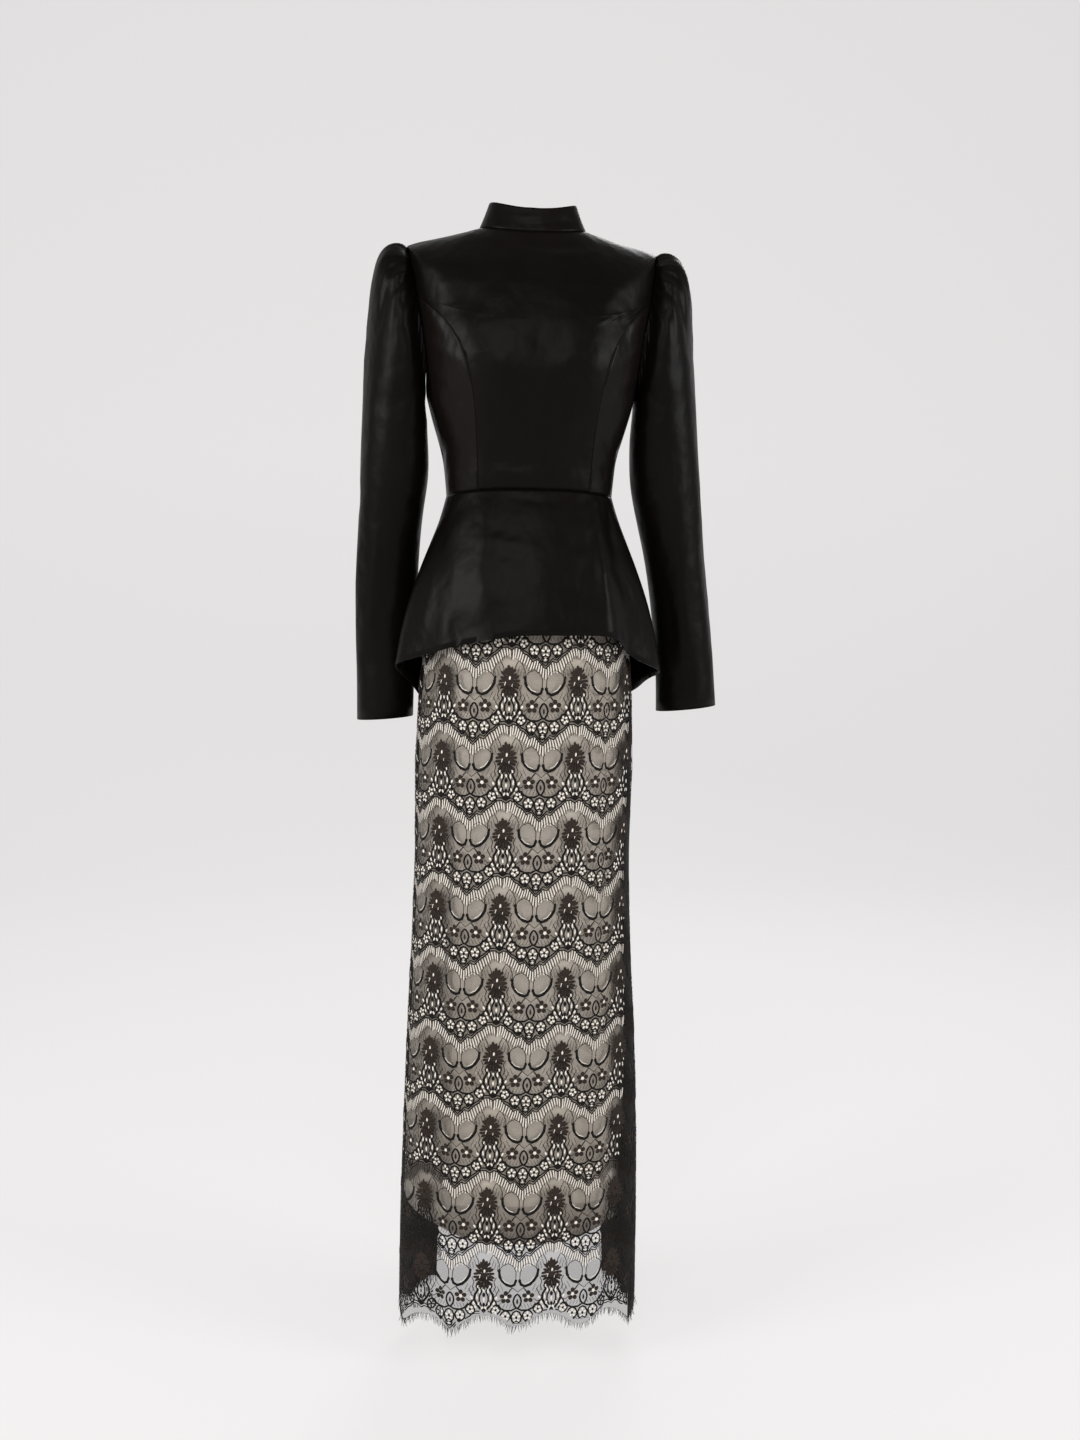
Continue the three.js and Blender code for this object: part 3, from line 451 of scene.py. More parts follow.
@dataclass
class ClothShell:
    """A fine shell on the form of one CAD cloth piece, with its creases and smooth shading."""

    node: str
    creases: tuple[Crease, ...] = ()
    levels: int = 2
    own_axis: bool = False
    rim_angle: float = math.radians(52)
    outer_only: bool = False
    eased: tuple[tuple[float, float], ...] = ()
    ease_passes: int = 26
    ease_share: float = 0.5
    sharp_from: float = math.radians(48)
    weld: float = 2e-6
    quad_flatness: float = math.radians(35)
    quad_shape: float = math.radians(70)
    axis_band: float = 24.0
    axis_scale: tuple[float, float] = (0.5, 1.1)

    def source(self) -> bmesh.types.BMesh:
        """Read the CAD piece as welded quads with its rims marked sharp.

        Returns:
            The mesh, in metres in the row's frame.
        """
        mesh = frame_mesh(self.node)
        bmesh.ops.remove_doubles(mesh, verts=mesh.verts, dist=self.weld)
        bmesh.ops.join_triangles(
            mesh, faces=mesh.faces, angle_face_threshold=self.quad_flatness, angle_shape_threshold=self.quad_shape,
        )
        mesh.normal_update()
        crease = mesh.edges.layers.float.new("crease_edge")
        for edge in mesh.edges:
            if len(edge.link_faces) == 2 and edge.calc_face_angle() > self.rim_angle:
                edge[crease] = 1.0
        return mesh

    def build(self, material: bpy.types.Material) -> bpy.types.Object:
        """Make the shell and put it in place of its CAD piece.

        Args:
            material: The cloth's finish.

        Returns:
            The shell's object.
        """
        coarse = self.source()
        if self.outer_only:
            self.keep_outer(coarse)
        mesh = bpy.data.meshes.new(self.node + "_coarse")
        coarse.to_mesh(mesh)
        coarse.free()
        draft = add_object(self.node + "_draft", mesh)
        subdivision = draft.modifiers.new("smooth", "SUBSURF")
        subdivision.levels = subdivision.render_levels = self.levels
        fine = bpy.data.meshes.new_from_object(draft.evaluated_get(bpy.context.evaluated_depsgraph_get()))
        bpy.data.objects.remove(draft)
        bpy.data.meshes.remove(mesh)
        self.ease(fine)
        self.crease(fine)
        fine.materials.clear()
        fine.materials.append(material)
        fine.name = self.node + "_shell"
        fine.shade_smooth()
        fine.set_sharp_from_angle(angle=self.sharp_from)
        shell = add_object(fine.name, fine)
        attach(shell, BODY)
        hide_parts(self.node)
        return shell

    @staticmethod
    def keep_outer(mesh: bmesh.types.BMesh) -> None:
        """Leave only the faces that look away from the garment's axis.

        Args:
            mesh: The wall to strip.
        """
        inward = [
            face for face in mesh.faces
            if abs(face.normal.z) > 0.8
            or face.normal.x * face.calc_center_median().x * 0.45 + face.normal.y * face.calc_center_median().y <= 0
            or min(edge.calc_length() for edge in face.edges) < 0.0013
        ]
        bmesh.ops.delete(mesh, geom=inward, context="FACES")

    def ease(self, mesh: bpy.types.Mesh) -> None:
        """Relax the shell in its eased bands, each given by its middle height and reach in millimetres.

        Args:
            mesh: The fine mesh, in metres.
        """
        if not self.eased:
            return
        work = bmesh.new()
        work.from_mesh(mesh)
        sharp = {vert for edge in work.edges if len(edge.link_faces) == 2 and edge.calc_face_angle() > 0.5
                 for vert in edge.verts}
        for height, reach in self.eased:
            near = [vert for vert in work.verts if vert not in sharp and abs(vert.co.z / MM - height) < reach]
            for _ in range(self.ease_passes):
                bmesh.ops.smooth_vert(
                    work, verts=near, factor=self.ease_share, use_axis_x=True, use_axis_y=True, use_axis_z=True,
                )
        work.to_mesh(mesh)
        work.free()

    def crease(self, mesh: bpy.types.Mesh) -> None:
        """Move the shell's points by its creases.

        Args:
            mesh: The fine mesh, in metres.
        """
        if not self.creases:
            return
        points = read_points(mesh.vertices, "co")
        outwards = self.outwards(points)
        lift = sum(crease.lift(points, outwards) for crease in self.creases)
        write_points(mesh, points + outwards * lift[:, None])

    def outwards(self, points: np.ndarray) -> np.ndarray:
        """Give the horizontal direction away from the axis of the body or of the sleeve.

        Args:
            points: The points in millimetres.

        Returns:
            A unit vector for each point.
        """
        centre = np.zeros((len(points), 2))
        if self.own_axis:
            slot = np.floor(points[:, 2] / self.axis_band).astype(int)
            keys = np.unique(slot)
            middles = np.array([points[slot == key, :2].mean(axis=0) for key in keys])
            heights = (keys + 0.5) * self.axis_band
            for axis in (0, 1):
                centre[:, axis] = np.interp(points[:, 2], heights, middles[:, axis])
        away = np.zeros_like(points)
        away[:, :2] = (points[:, :2] - centre) * ((1.0, 1.0) if self.own_axis else self.axis_scale)
        return away / np.maximum(np.linalg.norm(away, axis=1, keepdims=True), 1e-9)


def mirrored(creases: tuple[Crease, ...]) -> tuple[Crease, ...]:
    """Give the creases for the other side of the body.

    Args:
        creases: Creases of the +X side.

    Returns:
        The same creases on the -X side, a little less deep.
    """
    swap = {LEFT: RIGHT, RIGHT: LEFT}
    other = []
    for crease in creases:
        line = tuple((-x, z) for x, z in crease.line) if crease.facing in (FRONT, BACK) else crease.line
        facing = swap.get(crease.facing, crease.facing)
        other.append(Crease(facing, line, crease.rise * OTHER_SIDE_RISE, crease.width * OTHER_SIDE_WIDTH))
    return tuple(other)


def creases(facing: Facing, *rows: tuple[float, ...]) -> tuple[Crease, ...]:
    """Make creases from rows of rise, width and their line's points, each across and height."""
    return tuple(Crease(facing, tuple(zip(row[2::2], row[3::2])), row[0], row[1]) for row in rows)


COLLAR_CREASES = creases(
    FRONT,
    (-0.7, 4, -22, -4, 10, -1, 46, 4), (0.5, 4, -40, 8, -8, 5, 20, 7),
)
YOKE_CREASES = creases(
    FRONT,
    (-1.5, 5, -24, -31, 20, -36, 72, -30), (1.3, 7, -30, -42, 16, -45, 60, -41),
    (-0.9, 6, -60, -30, -36, -44, -4, -52), (1.0, 9, -128, -50, -92, -62, -50, -60),
)
WAIST_CREASES = creases(
    FRONT,
    (-1.3, 6, -62, -296, -20, -303, 24, -297), (1.1, 7, 0, -316, 36, -320, 68, -313),
    (1.0, 6, -66, -322, -40, -315, -8, -318), (0.9, 10, 60, -236, 34, -262, 20, -290),
    (0.8, 10, -62, -240, -40, -264, -22, -284),
)
BODICE_CREASES = creases(
    FRONT,
    (-1.3, 8, -50, -270, -26, -280, 0, -287), (-1.2, 7, 4, -246, 16, -258, 24, -270),
    (-1.1, 9, -34, -218, -22, -232, -10, -250), (1.0, 7, -10, -262, 8, -272, 34, -276),
    (0.9, 11, -64, -170, -40, -190, -26, -206), (0.8, 12, 44, -160, 30, -190, 36, -222),
    (-0.8, 12, -20, -150, 4, -162, 34, -158), (-1.0, 11, -96, -92, -76, -112, -62, -140),
    (1.0, 12, 100, -84, 80, -108, 66, -136), (0.6, 14, -40, -84, 0, -92, 44, -86),
)
SIDE_FRONT_CREASES = creases(
    FRONT,
    (-1.3, 6, 124, -118, 112, -136, 104, -160), (1.2, 6, 134, -150, 118, -166, 104, -180),
    (-1.2, 7, 84, -256, 92, -272, 104, -284), (-1.2, 6, 80, -300, 92, -306, 108, -300),
    (-1.2, 7, 132, -196, 112, -214, 92, -226), (1.1, 9, 130, -218, 112, -240, 96, -262),
) + creases(
    RIGHT,
    (-1.2, 7, -40, -276, -10, -286, 10, -280),
)
BACK_CREASES = creases(
    BACK,
    (-1.2, 9, 20, -256, 46, -268, 74, -270), (-0.9, 12, 40, -90, 64, -112, 92, -118),
    (-1.6, 7, 8, -296, 44, -304, 92, -292), (1.3, 7, 12, -318, 50, -322, 88, -312),
    (-1.3, 9, 126, -178, 96, -206, 66, -222), (1.0, 16, 30, -120, 52, -180, 60, -240),
    (0.9, 9, 24, -34, 60, -50, 100, -52),
)
PEPLUM_FRONT_CREASES = creases(
    FRONT,
    (-1.3, 7, -58, -383, -40, -391, -22, -396), (-1.7, 7, -50, -407, -32, -416, -12, -422),
    (1.2, 6, -60, -396, -40, -403, -18, -409), (-1.1, 10, 32, -383, 46, -396, 62, -410),
    (1.0, 12, -20, -440, 6, -452, 34, -450), (1.1, 12, -76, -446, -56, -462, -30, -470),
    (-1.0, 11, 20, -474, 44, -486, 66, -484), (-1.0, 10, -96, -500, -70, -508, -40, -500),
    (1.5, 9, 110, -470, 124, -496, 130, -528), (-1.3, 9, -116, -372, -118, -400, -128, -436),
    (2.2, 8, 78, -348, 83, -420, 92, -512), (-2.4, 7, 98, -352, 105, -432, 128, -470),
    (-1.6, 5, -107, -494, -98, -512, -89, -529), (1.4, 13, -62, -352, -70, -430, -84, -520),
    (-0.9, 16, 18, -360, 26, -440, 30, -512), (-0.8, 5, -30, -344, 8, -350, 44, -345),
    (1.8, 9, -124, -420, -132, -480, -146, -540),
)
PEPLUM_BACK_CREASES = creases(
    BACK,
    (-1.3, 9, 60, -388, 84, -400, 112, -398), (1.2, 11, 70, -470, 96, -488, 126, -486),
    (-1.2, 9, 24, -480, 34, -520, 36, -560), (-2.0, 9, 30, -356, 46, -450, 52, -600),
    (2.0, 10, 74, -352, 92, -440, 104, -560), (1.2, 8, 8, -352, 14, -380, 20, -430),
)
SLEEVE_CREASES = creases(
    FRONT,
    (2.0, 2.6, 160, -30, 170, -24, 180, -26), (-1.8, 2.6, 158, -38, 170, -34, 184, -34),
    (2.0, 2.8, 157, -46, 171, -44, 188, -48), (-1.8, 2.8, 156, -55, 171, -56, 188, -64),
    (1.9, 3.0, 154, -64, 170, -68, 186, -80), (-1.6, 3.2, 153, -74, 166, -81, 180, -96),
) + creases(
    BACK,
    (2.0, 2.8, 160, -32, 172, -28, 184, -32), (-1.8, 3.0, 158, -46, 172, -46, 188, -54),
    (1.8, 3.2, 156, -62, 170, -66, 186, -78),
) + creases(
    FRONT,
    (-2.2, 6, 176, -52, 190, -110, 203, -152), (1.6, 6, 158, -48, 168, -74, 172, -108),
    (1.4, 6, 190, -40, 200, -76, 205, -104), (-1.8, 7, 140, -196, 156, -214, 176, -222),
    (1.4, 8, 134, -246, 154, -252, 176, -246), (-1.8, 6, 138, -318, 160, -326, 186, -318),
    (-1.5, 7, 142, -348, 168, -358, 198, -352), (1.4, 6, 146, -334, 172, -340, 200, -334),
    (1.5, 10, 196, -392, 204, -470, 212, -552), (-1.2, 9, 176, -440, 190, -500, 204, -560),
) + creases(
    BACK,
    (-1.6, 8, 206, -280, 186, -300, 160, -304), (1.5, 9, 214, -350, 190, -372, 162, -380),
    (-1.6, 8, 188, -70, 180, -120, 172, -170),
) + creases(
    RIGHT,
    (1.5, 12, -12, -80, 4, -150, 12, -214), (-1.5, 8, -6, -330, 20, -344, 44, -338),
    (1.2, 10, 20, -400, 34, -470, 44, -560),
)
LINING_CREASES = creases(
    FRONT,
    (2.0, 9, -60, -1180, -56, -1230, -52, -1290), (-2.2, 9, 30, -1200, 34, -1250, 40, -1296),
) + creases(
    BACK,
    (2.2, 10, 40, -1120, 34, -1200, 30, -1276), (-1.5, 9, -36, -1140, -44, -1220, -48, -1276),
)


@dataclass
class Tunic:
    """The satin tunic: body panels, collar, sleeves and peplum."""

    satin: Satin = field(default_factory=Satin)
    # The side fronts' satin: its lighter base tones are painted sheen; its lower roughness and higher specular are its
    # own gloss.
    side_satin_painted_sheen: Satin = Satin("duchess_satin_cut_on_cross", "#0a0706", "#120d0b", roughness=0.36, specular=0.1)

    def build(self) -> list[bpy.types.Object]:
        """Make every satin shell.

        Returns:
            The shells.
        """
        material = self.satin.build()
        shells = (
            ClothShell("collar", COLLAR_CREASES),
            ClothShell("front_centre", YOKE_CREASES + BODICE_CREASES + WAIST_CREASES, eased=((-128, 42),)),
            ClothShell("back_right", BACK_CREASES),
            ClothShell("back_left", mirrored(BACK_CREASES)),
            ClothShell("peplum_front", PEPLUM_FRONT_CREASES),
            ClothShell("peplum_back_right", PEPLUM_BACK_CREASES),
            ClothShell("peplum_back_left", mirrored(PEPLUM_BACK_CREASES)),
            ClothShell("sleeve_right", SLEEVE_CREASES, own_axis=True),
            ClothShell("sleeve_left", mirrored(SLEEVE_CREASES), own_axis=True),
        )
        made = [shell.build(material) for shell in shells]
        # The side fronts get the satin copy with painted sheen.
        painted_sheen_satin = self.side_satin_painted_sheen.build()
        made += [
            ClothShell("side_front_right", SIDE_FRONT_CREASES).build(painted_sheen_satin),
            ClothShell("side_front_left", mirrored(SIDE_FRONT_CREASES)).build(painted_sheen_satin),
        ]
        return made


# ---- Lace --------------------------------------------------------------------------------


class Yarn(Enum):
    """What a shape of the lace is made of, as its material's index on the lace."""

    CORD = 0
    FILLING = 1
    VEIL = 2
    BRIGHT = 3


class FlatDrawing:
    """Flat shapes in millimetres, gathered into one mesh with a material for each kind of yarn."""

    def __init__(self) -> None:
        """Start with nothing drawn."""
        self.points: list[tuple[float, float, float]] = []
        self.faces: list[tuple[int, ...]] = []
        self.yarns: list[int] = []

    def stroke(
        self, line: list[tuple[float, float]], width: float, yarn: Yarn = Yarn.CORD,
        closed: bool = False, height: float = 0.35, end_scale: float = 0.8,
    ) -> None:
        """Draw a cord along a line, as a low ridge of two slopes.

        Args:
            line: The line's points.
            width: The cord's width.
            yarn: What it is made of.
            closed: Whether its ends join.
            height: The ridge's height over the net.
            end_scale: The width at the ends of an open line.
        """
        path = np.array(line, float)
        if closed:
            before, after = np.roll(path, 1, axis=0), np.roll(path, -1, axis=0)
        else:
            before = np.vstack([path[:1], path[:-1]])
            after = np.vstack([path[1:], path[-1:]])
        run = after - before
        run /= np.maximum(np.hypot(*run.T), 1e-9)[:, None]
        side = np.stack([-run[:, 1], run[:, 0]], axis=1)
        first = len(self.points)
        swell = {Yarn.CORD: 1.4, Yarn.FILLING: 1.2}.get(yarn, 1.0)
        for i, (point, across) in enumerate(zip(path, side)):
            at_end = not closed and i in (0, len(path) - 1)
            half = width / 2 * swell * (end_scale if at_end else 1)
            left, right = point + across * half, point - across * half
            self.points += [(*left, 0.05), (*point, height), (*right, 0.05)]
        count = len(path)
        for i in range(count if closed else count - 1):
            a, b = first + 3 * i, first + 3 * ((i + 1) % count)
            self.faces += [(a, b, b + 1, a + 1), (a + 1, b + 1, b + 2, a + 2)]
            self.yarns += [yarn.value] * 2

    def petal(
        self, centre: tuple[float, float], length: float, width: float, degrees: float,
        yarn: Yarn = Yarn.FILLING, sides: int = 8, height: float = 0.3, point: float = 0.0,
    ) -> None:
        """Draw a filled leaf, petal or dot, domed in the middle.

        Args:
            centre: Its centre.
            length: Its length along its own axis.
            width: Its width.
            degrees: The turn of its axis from +u.
            yarn: What it is made of.
            sides: How many sides its outline has.
            height: The dome's height over the net.
            point: From 0, an oval, to 1, pointed at its ends.
        """
        outline = self.oval(centre, length, width, degrees, sides, point)
        first = len(self.points)
        self.points.append((*centre, height))
        self.points += [(u, v, 0.04) for u, v in outline]
        for i in range(sides):
            self.faces.append((first, first + 1 + i, first + 1 + (i + 1) % sides))
            self.yarns.append(yarn.value)

    @staticmethod
    def oval(
        centre: tuple[float, float], length: float, width: float, degrees: float, sides: int, point: float = 0.0,
    ) -> list[tuple[float, float]]:
        """Give an oval's outline, pointed at both ends if asked.

        Args:
            centre: Its centre.
            length: Its length along its own axis.
            width: Its width.
            degrees: The turn of its axis from +u.
            sides: How many points to give.
            point: From 0, an oval, to 1, pointed.

        Returns:
            The outline's points.
        """
        c, s = turned(degrees)
        outline = []
        for i in range(sides):
            turn = 2 * math.pi * i / sides
            a = length / 2 * math.cos(turn)
            b = width / 2 * math.sin(turn) * (1 - point * abs(math.cos(turn)) ** 2)
            outline.append((centre[0] + a * c - b * s, centre[1] + a * s + b * c))
        return outline

    def mesh(self, name: str) -> bpy.types.Mesh:
        """Make the drawing's mesh.

        Args:
            name: The mesh's name.

        Returns:
            The mesh, in metres.
        """
        mesh = plain_mesh(name, self.points, self.faces)
        mesh.attributes.new("yarn", "INT", "FACE").data.foreach_set("value", self.yarns)
        return mesh


ZIGZAG = (
    (-44, -55), (-38.5, -51.5), (-34, -53), (-29, -59), (-23.8, -61.5), (-17.8, -69), (-12, -66), (-8, -71.5),
    (-2, -78), (3.4, -73), (7.4, -68.4), (12.4, -70.6), (19.6, -63), (26, -58.6), (32, -52), (38.5, -51.5), (44, -55),
)


@dataclass
class LaceRepeat:
    """One repeat of the lace, a fan between two medallions.

    Millimetres from the fan's centre (u to the right) and from the medallions' row (v up).
    """

    width: float = 87.6
    height: float = 95.6
    art: FlatDrawing = field(default_factory=FlatDrawing)

    def draw(self) -> FlatDrawing:
        """Draw the whole repeat.

        Returns:
            The drawing.
        """
        for draw in (
            self.draw_veil, self.draw_ground, self.draw_balloons, self.draw_flowers, self.draw_pendants,
            self.draw_zigzag, self.draw_medallion, self.draw_vase,
        ):
            draw()
        return self.art

    def draw_veil(self) -> None:
        """Draw the fan's second layer of net, which ends at the zigzag."""
        art = self.art
        half = self.width / 2
        top = [(half, -38), (half, -8), (31, 18), (20, 13), (8, 9), (0, 5), (-8, 9), (-20, 13), (-31, 18),
               (-half, -8), (-half, -38)]
        first = len(art.points)
        art.points.append((0, -24, 0.02))
        art.points += [(u, v, 0.02) for u, v in [*ZIGZAG, *top]]
        count = len(ZIGZAG) + len(top)
        for i in range(count):
            art.faces.append((first, first + 1 + i, first + 1 + (i + 1) % count))
            art.yarns.append(Yarn.VEIL.value)

    def draw_ground(self) -> None:
        """Draw the ground's leaning stitches, close in the side petals and wide elsewhere."""
        art = self.art
        # count, first stitch's foot and head, the step to the next foot and head, width
        rows = (
            (3, (27, 2), (25.6, 11), (3.4, 3.2), (2.8, 3.2), 0.6),
            (5, (19, -24), (23, -15), (4, -2.2), (4, -2.2), 0.6),
            (4, (3.4, -41.6), (6.4, -47.4), (4.4, 0), (4.4, 0), 0.6),
            (4, (22, -40), (26, -47), (4.6, 1), (4.6, 1), 0.7),
            (3, (2.4, 14), (3.4, 22), (3, 1), (4, 1), 0.6),
        )
        for side in (-1, 1):
            for count, foot, head, foot_step, head_step, width in rows:
                for k in range(count):
                    ends = [(side * (at[0] + step[0] * k), at[1] + step[1] * k)
                            for at, step in ((foot, foot_step), (head, head_step))]
                    art.stroke(ends, width, Yarn.FILLING, height=0.2)

    def draw_balloons(self) -> None:
        """Draw the two balloon petals of the fan with their heavy lower outlines, and the pair beside them."""
        art = self.art
        art.petal((-13.5, -2), 26, 23.5, 96, Yarn.VEIL, 14, 0.1)
        art.petal((14, -1.5), 26, 23.5, 84, Yarn.VEIL, 14, 0.1)
        left = [(-24.4, 3), (-23.6, -5), (-20, -11), (-14.5, -16), (-8.6, -18), (-4.6, -16), (-2.8, -11)]
        right = [(2.2, -11), (4, -16), (9, -18.4), (15.4, -16), (21, -10.5), (25, -4), (26, 3)]
        for line in (left, right):
            art.stroke(line, 2.7)
            art.petal(line[0], 5.4, 4.2, 80, Yarn.CORD, 7, 0.5)
            art.petal(line[-1], 5.0, 3.8, 80, Yarn.CORD, 7, 0.5)
        art.stroke([(-24.4, 3), (-20.4, 9.4), (-13, 12.4), (-6, 9), (-2.6, 1), (-2.8, -11)], 0.9, Yarn.FILLING)
        art.stroke([(2.2, -11), (2.8, 0), (6.2, 9), (13.4, 12.8), (20.6, 9), (26, 3)], 0.9, Yarn.FILLING)
        art.stroke([(-21, -7), (-16.6, -12.4), (-10.6, -14.6)], 1.0, Yarn.BRIGHT)
        art.stroke([(21, -6), (16.6, -12), (10.6, -14.6)], 0.9, Yarn.BRIGHT)
        art.stroke([(0, 14.6), (-0.4, 8), (0, 1)], 0.9, Yarn.FILLING)
        for side in (-1, 1):
            art.petal((side * 31, 12), 20, 13, 90 - side * 24, Yarn.VEIL, 10, 0.1, 0.5)
            outline = [(24.6, 3), (24, 11), (27.6, 20), (32.4, 24), (36, 17), (38, 10)]
            art.stroke([(side * u, v) for u, v in outline], 0.9, Yarn.FILLING)
            swirl = [(28, -6), (31, -12), (29, -19), (31.6, -25)]
            art.stroke([(side * u, v) for u, v in swirl], 1.0, Yarn.FILLING)
            art.stroke([(side * 24, -21), (side * 28, -30), (side * 33.6, -34)], 1.0, Yarn.FILLING)

    def draw_flowers(self) -> None:
        """Draw the two small flowers and the pointed oval between them."""
        art = self.art
        for centre in ((-15.5, -33), (13.6, -32.5)):
            for turn in (90, 162, 234, 306, 18):
                c, s = turned(turn)
                art.petal((centre[0] + c * 5.0, centre[1] + s * 5.6), 6.8, 6.2, turn, Yarn.FILLING, 7, 0.45)
            art.petal(centre, 4.6, 4.2, 0, Yarn.BRIGHT, 8, 0.6)
        for side in (-1, 1):
            art.stroke([(side * 7, -20), (side * 10.5, -24), (side * 12.6, -27.6)], 1.2)
            art.stroke([(side * 20.6, -35), (side * 25, -38.6), (side * 29, -37)], 1.0, Yarn.FILLING)
        art.stroke([(-7, -20), (0, -26), (7, -20)], 0.9, Yarn.FILLING)
        ring = art.oval((-0.6, -38.4), 19, 10.4, 90, 12, 0.35)
        art.stroke(ring, 1.7, closed=True)
        art.petal((-0.6, -38.8), 8, 3.2, 90, Yarn.FILLING, 7, 0.3, 0.5)

    def draw_pendants(self) -> None:
        """Draw the two swags and the beaded drops that hang from them."""
        art = self.art
        art.stroke([(-29, -42), (-24, -47), (-16, -50.6), (-8, -50.6), (-2, -47.4)], 1.8)
        art.stroke([(-2, -47.4), (5, -50.6), (13, -50.6), (20.4, -47), (26, -41.6), (29, -38)], 1.8)
        rings = (
            ((-15.8, -58.6), 15.4, 13.4, 90), ((13, -58.2), 15.4, 13.4, 90), ((-1.6, -60.4), 18.4, 13.4, 90),
            ((-28.4, -49.8), 15, 11.4, 58), ((26.2, -49.2), 15, 11.4, 118),
        )
        for centre, length, width, turn in rings:
            art.stroke(art.oval(centre, length, width, turn, 9, 0.1), 1.6, closed=True)
            art.petal(centre, 4.2, 3.4, turn, Yarn.CORD, 6, 0.35)
            for k, (u, v) in enumerate(art.oval(centre, length * 0.54, width * 0.54, turn, 5)):
                art.petal((u, v), 4.8, 2.6, turn + 72 * k, Yarn.BRIGHT, 6, 0.3)
        art.stroke(art.oval((-2, -69.4), 9, 8.6, 90, 8), 1.5, closed=True)
        art.petal((-2, -69.4), 4.6, 4.0, 0, Yarn.BRIGHT, 6, 0.3)
        for centre in ((-15, -66.4), (11.7, -65.4)):
            art.petal(centre, 6.6, 6, 270, Yarn.CORD, 6, 0.4)

    def draw_zigzag(self) -> None:
        """Draw the pointed double outline below the pendants and the open stitches that hang from it."""
        art = self.art
        path = np.array(ZIGZAG, float)
        art.stroke(list(ZIGZAG), 1.3, end_scale=1.0)
        art.stroke([(u, v - 3.4) for u, v in ZIGZAG], 1.2, end_scale=1.0)
        steps = distances(path)
        for k, along in enumerate(np.arange(1.2, steps[-1], 1.95)):
            u, v = (float(np.interp(along, steps, path[:, axis])) for axis in (0, 1))
            lean = 0.34 * math.sin(u / self.width * 2 * math.pi)
            top, bottom = v - 4.6, v - 15.4 + 1.8 * math.sin(along * 1.7)
            foot = (u + lean * (top - bottom), bottom)
            line = [(u, top), ((u + foot[0]) / 2 + 0.2, (top + bottom) / 2), foot]
            width, yarn, height = (1.4, Yarn.BRIGHT, 0.3) if k % 2 else (0.75, Yarn.FILLING, 0.4)
            art.stroke(line, width, yarn, height=height)

    def draw_medallion(self) -> None:
        """Draw the dense spiky medallion at the right edge of the repeat."""
        art = self.art
        u, v = self.width / 2, -2.2
        for count, across, along, length, width in ((23, 9.8, 15.6, 9.2, 4.6), (13, 5.6, 9.4, 8.6, 4.8)):
            for k in range(count):
                turn = 360 * k / count + 4
                c, s = turned(turn)
                narrow, reach = 1 - 0.3 * max(0.0, s), 1 + 0.11 * math.sin(2.3 * k)
                place = (u + across * c * narrow * reach, v + along * s * reach)
                art.petal(place, length, width, turn + 14 * math.sin(1.9 * k), Yarn.FILLING, 6, 0.45, 0.5)
        art.petal((u, v - 2), 11, 8, 90, Yarn.FILLING, 10, 0.6)
        for turn in (200, 228, 256, 284, 312, 340):
            c, s = turned(turn)
            art.stroke([(u + 3 * c, v - 3 + 3 * s), (u + 12 * c, v - 4 + 14 * s)], 1.1, Yarn.CORD, height=0.8)
        art.petal((u + 0.6, v + 5), 6.0, 2.6, 80, Yarn.BRIGHT, 8, 0.95)
        art.petal((u - 5.4, v - 2.4), 7, 1.5, 74, Yarn.BRIGHT, 6, 0.9)
        art.petal((u + 3.4, v - 4.6), 5, 1.3, 78, Yarn.BRIGHT, 6, 0.9)

    def draw_vase(self) -> None:
        """Draw the beaded vase below the medallion."""
        art = self.art
        middle = self.width / 2
        for side in (-1, 1):
            for line, width in (
                ([(10.4, -17), (7.6, -23), (11.4, -29), (12.4, -35), (8.6, -43), (4, -49), (0, -54)], 2.2),
                ([(5.4, -18), (2.6, -25), (5.6, -31), (5.8, -37), (2.6, -45)], 1.6),
                ([(11.4, -34), (15.4, -39), (17.6, -45)], 1.4),
            ):
                art.stroke([(middle + side * u, v) for u, v in line], width)
            for u, v, turn, length, width in (
                (8.0, -18.6, 112, 7.4, 2.2), (5.4, -24.4, 100, 7.4, 2.2), (8.8, -32.4, 88, 7.4, 2.2),
                (6.6, -41.4, 112, 7.4, 2.2), (2.6, -47.6, 120, 7.4, 2.2), (13, -40.6, 62, 4.8, 2.6),
                (11, -46, 56, 4.8, 2.6), (16, -33.6, 60, 4.8, 2.6),
            ):
                art.petal((middle + side * u, v), length, width, turn if side > 0 else 180 - turn, Yarn.BRIGHT, 6, 0.35)
        for v in (-23, -36):
            art.petal((middle, v), 6.0, 2.4, 90, Yarn.BRIGHT, 6, 0.35)
        for v, width in ((-29.4, 5.0), (-43, 4.6)):
            art.petal((middle, v), 6.4, width, 90, Yarn.CORD, 6, 0.4, 0.4)
        art.petal((middle, -51), 7.6, 5.4, 270, Yarn.CORD, 6, 0.4)


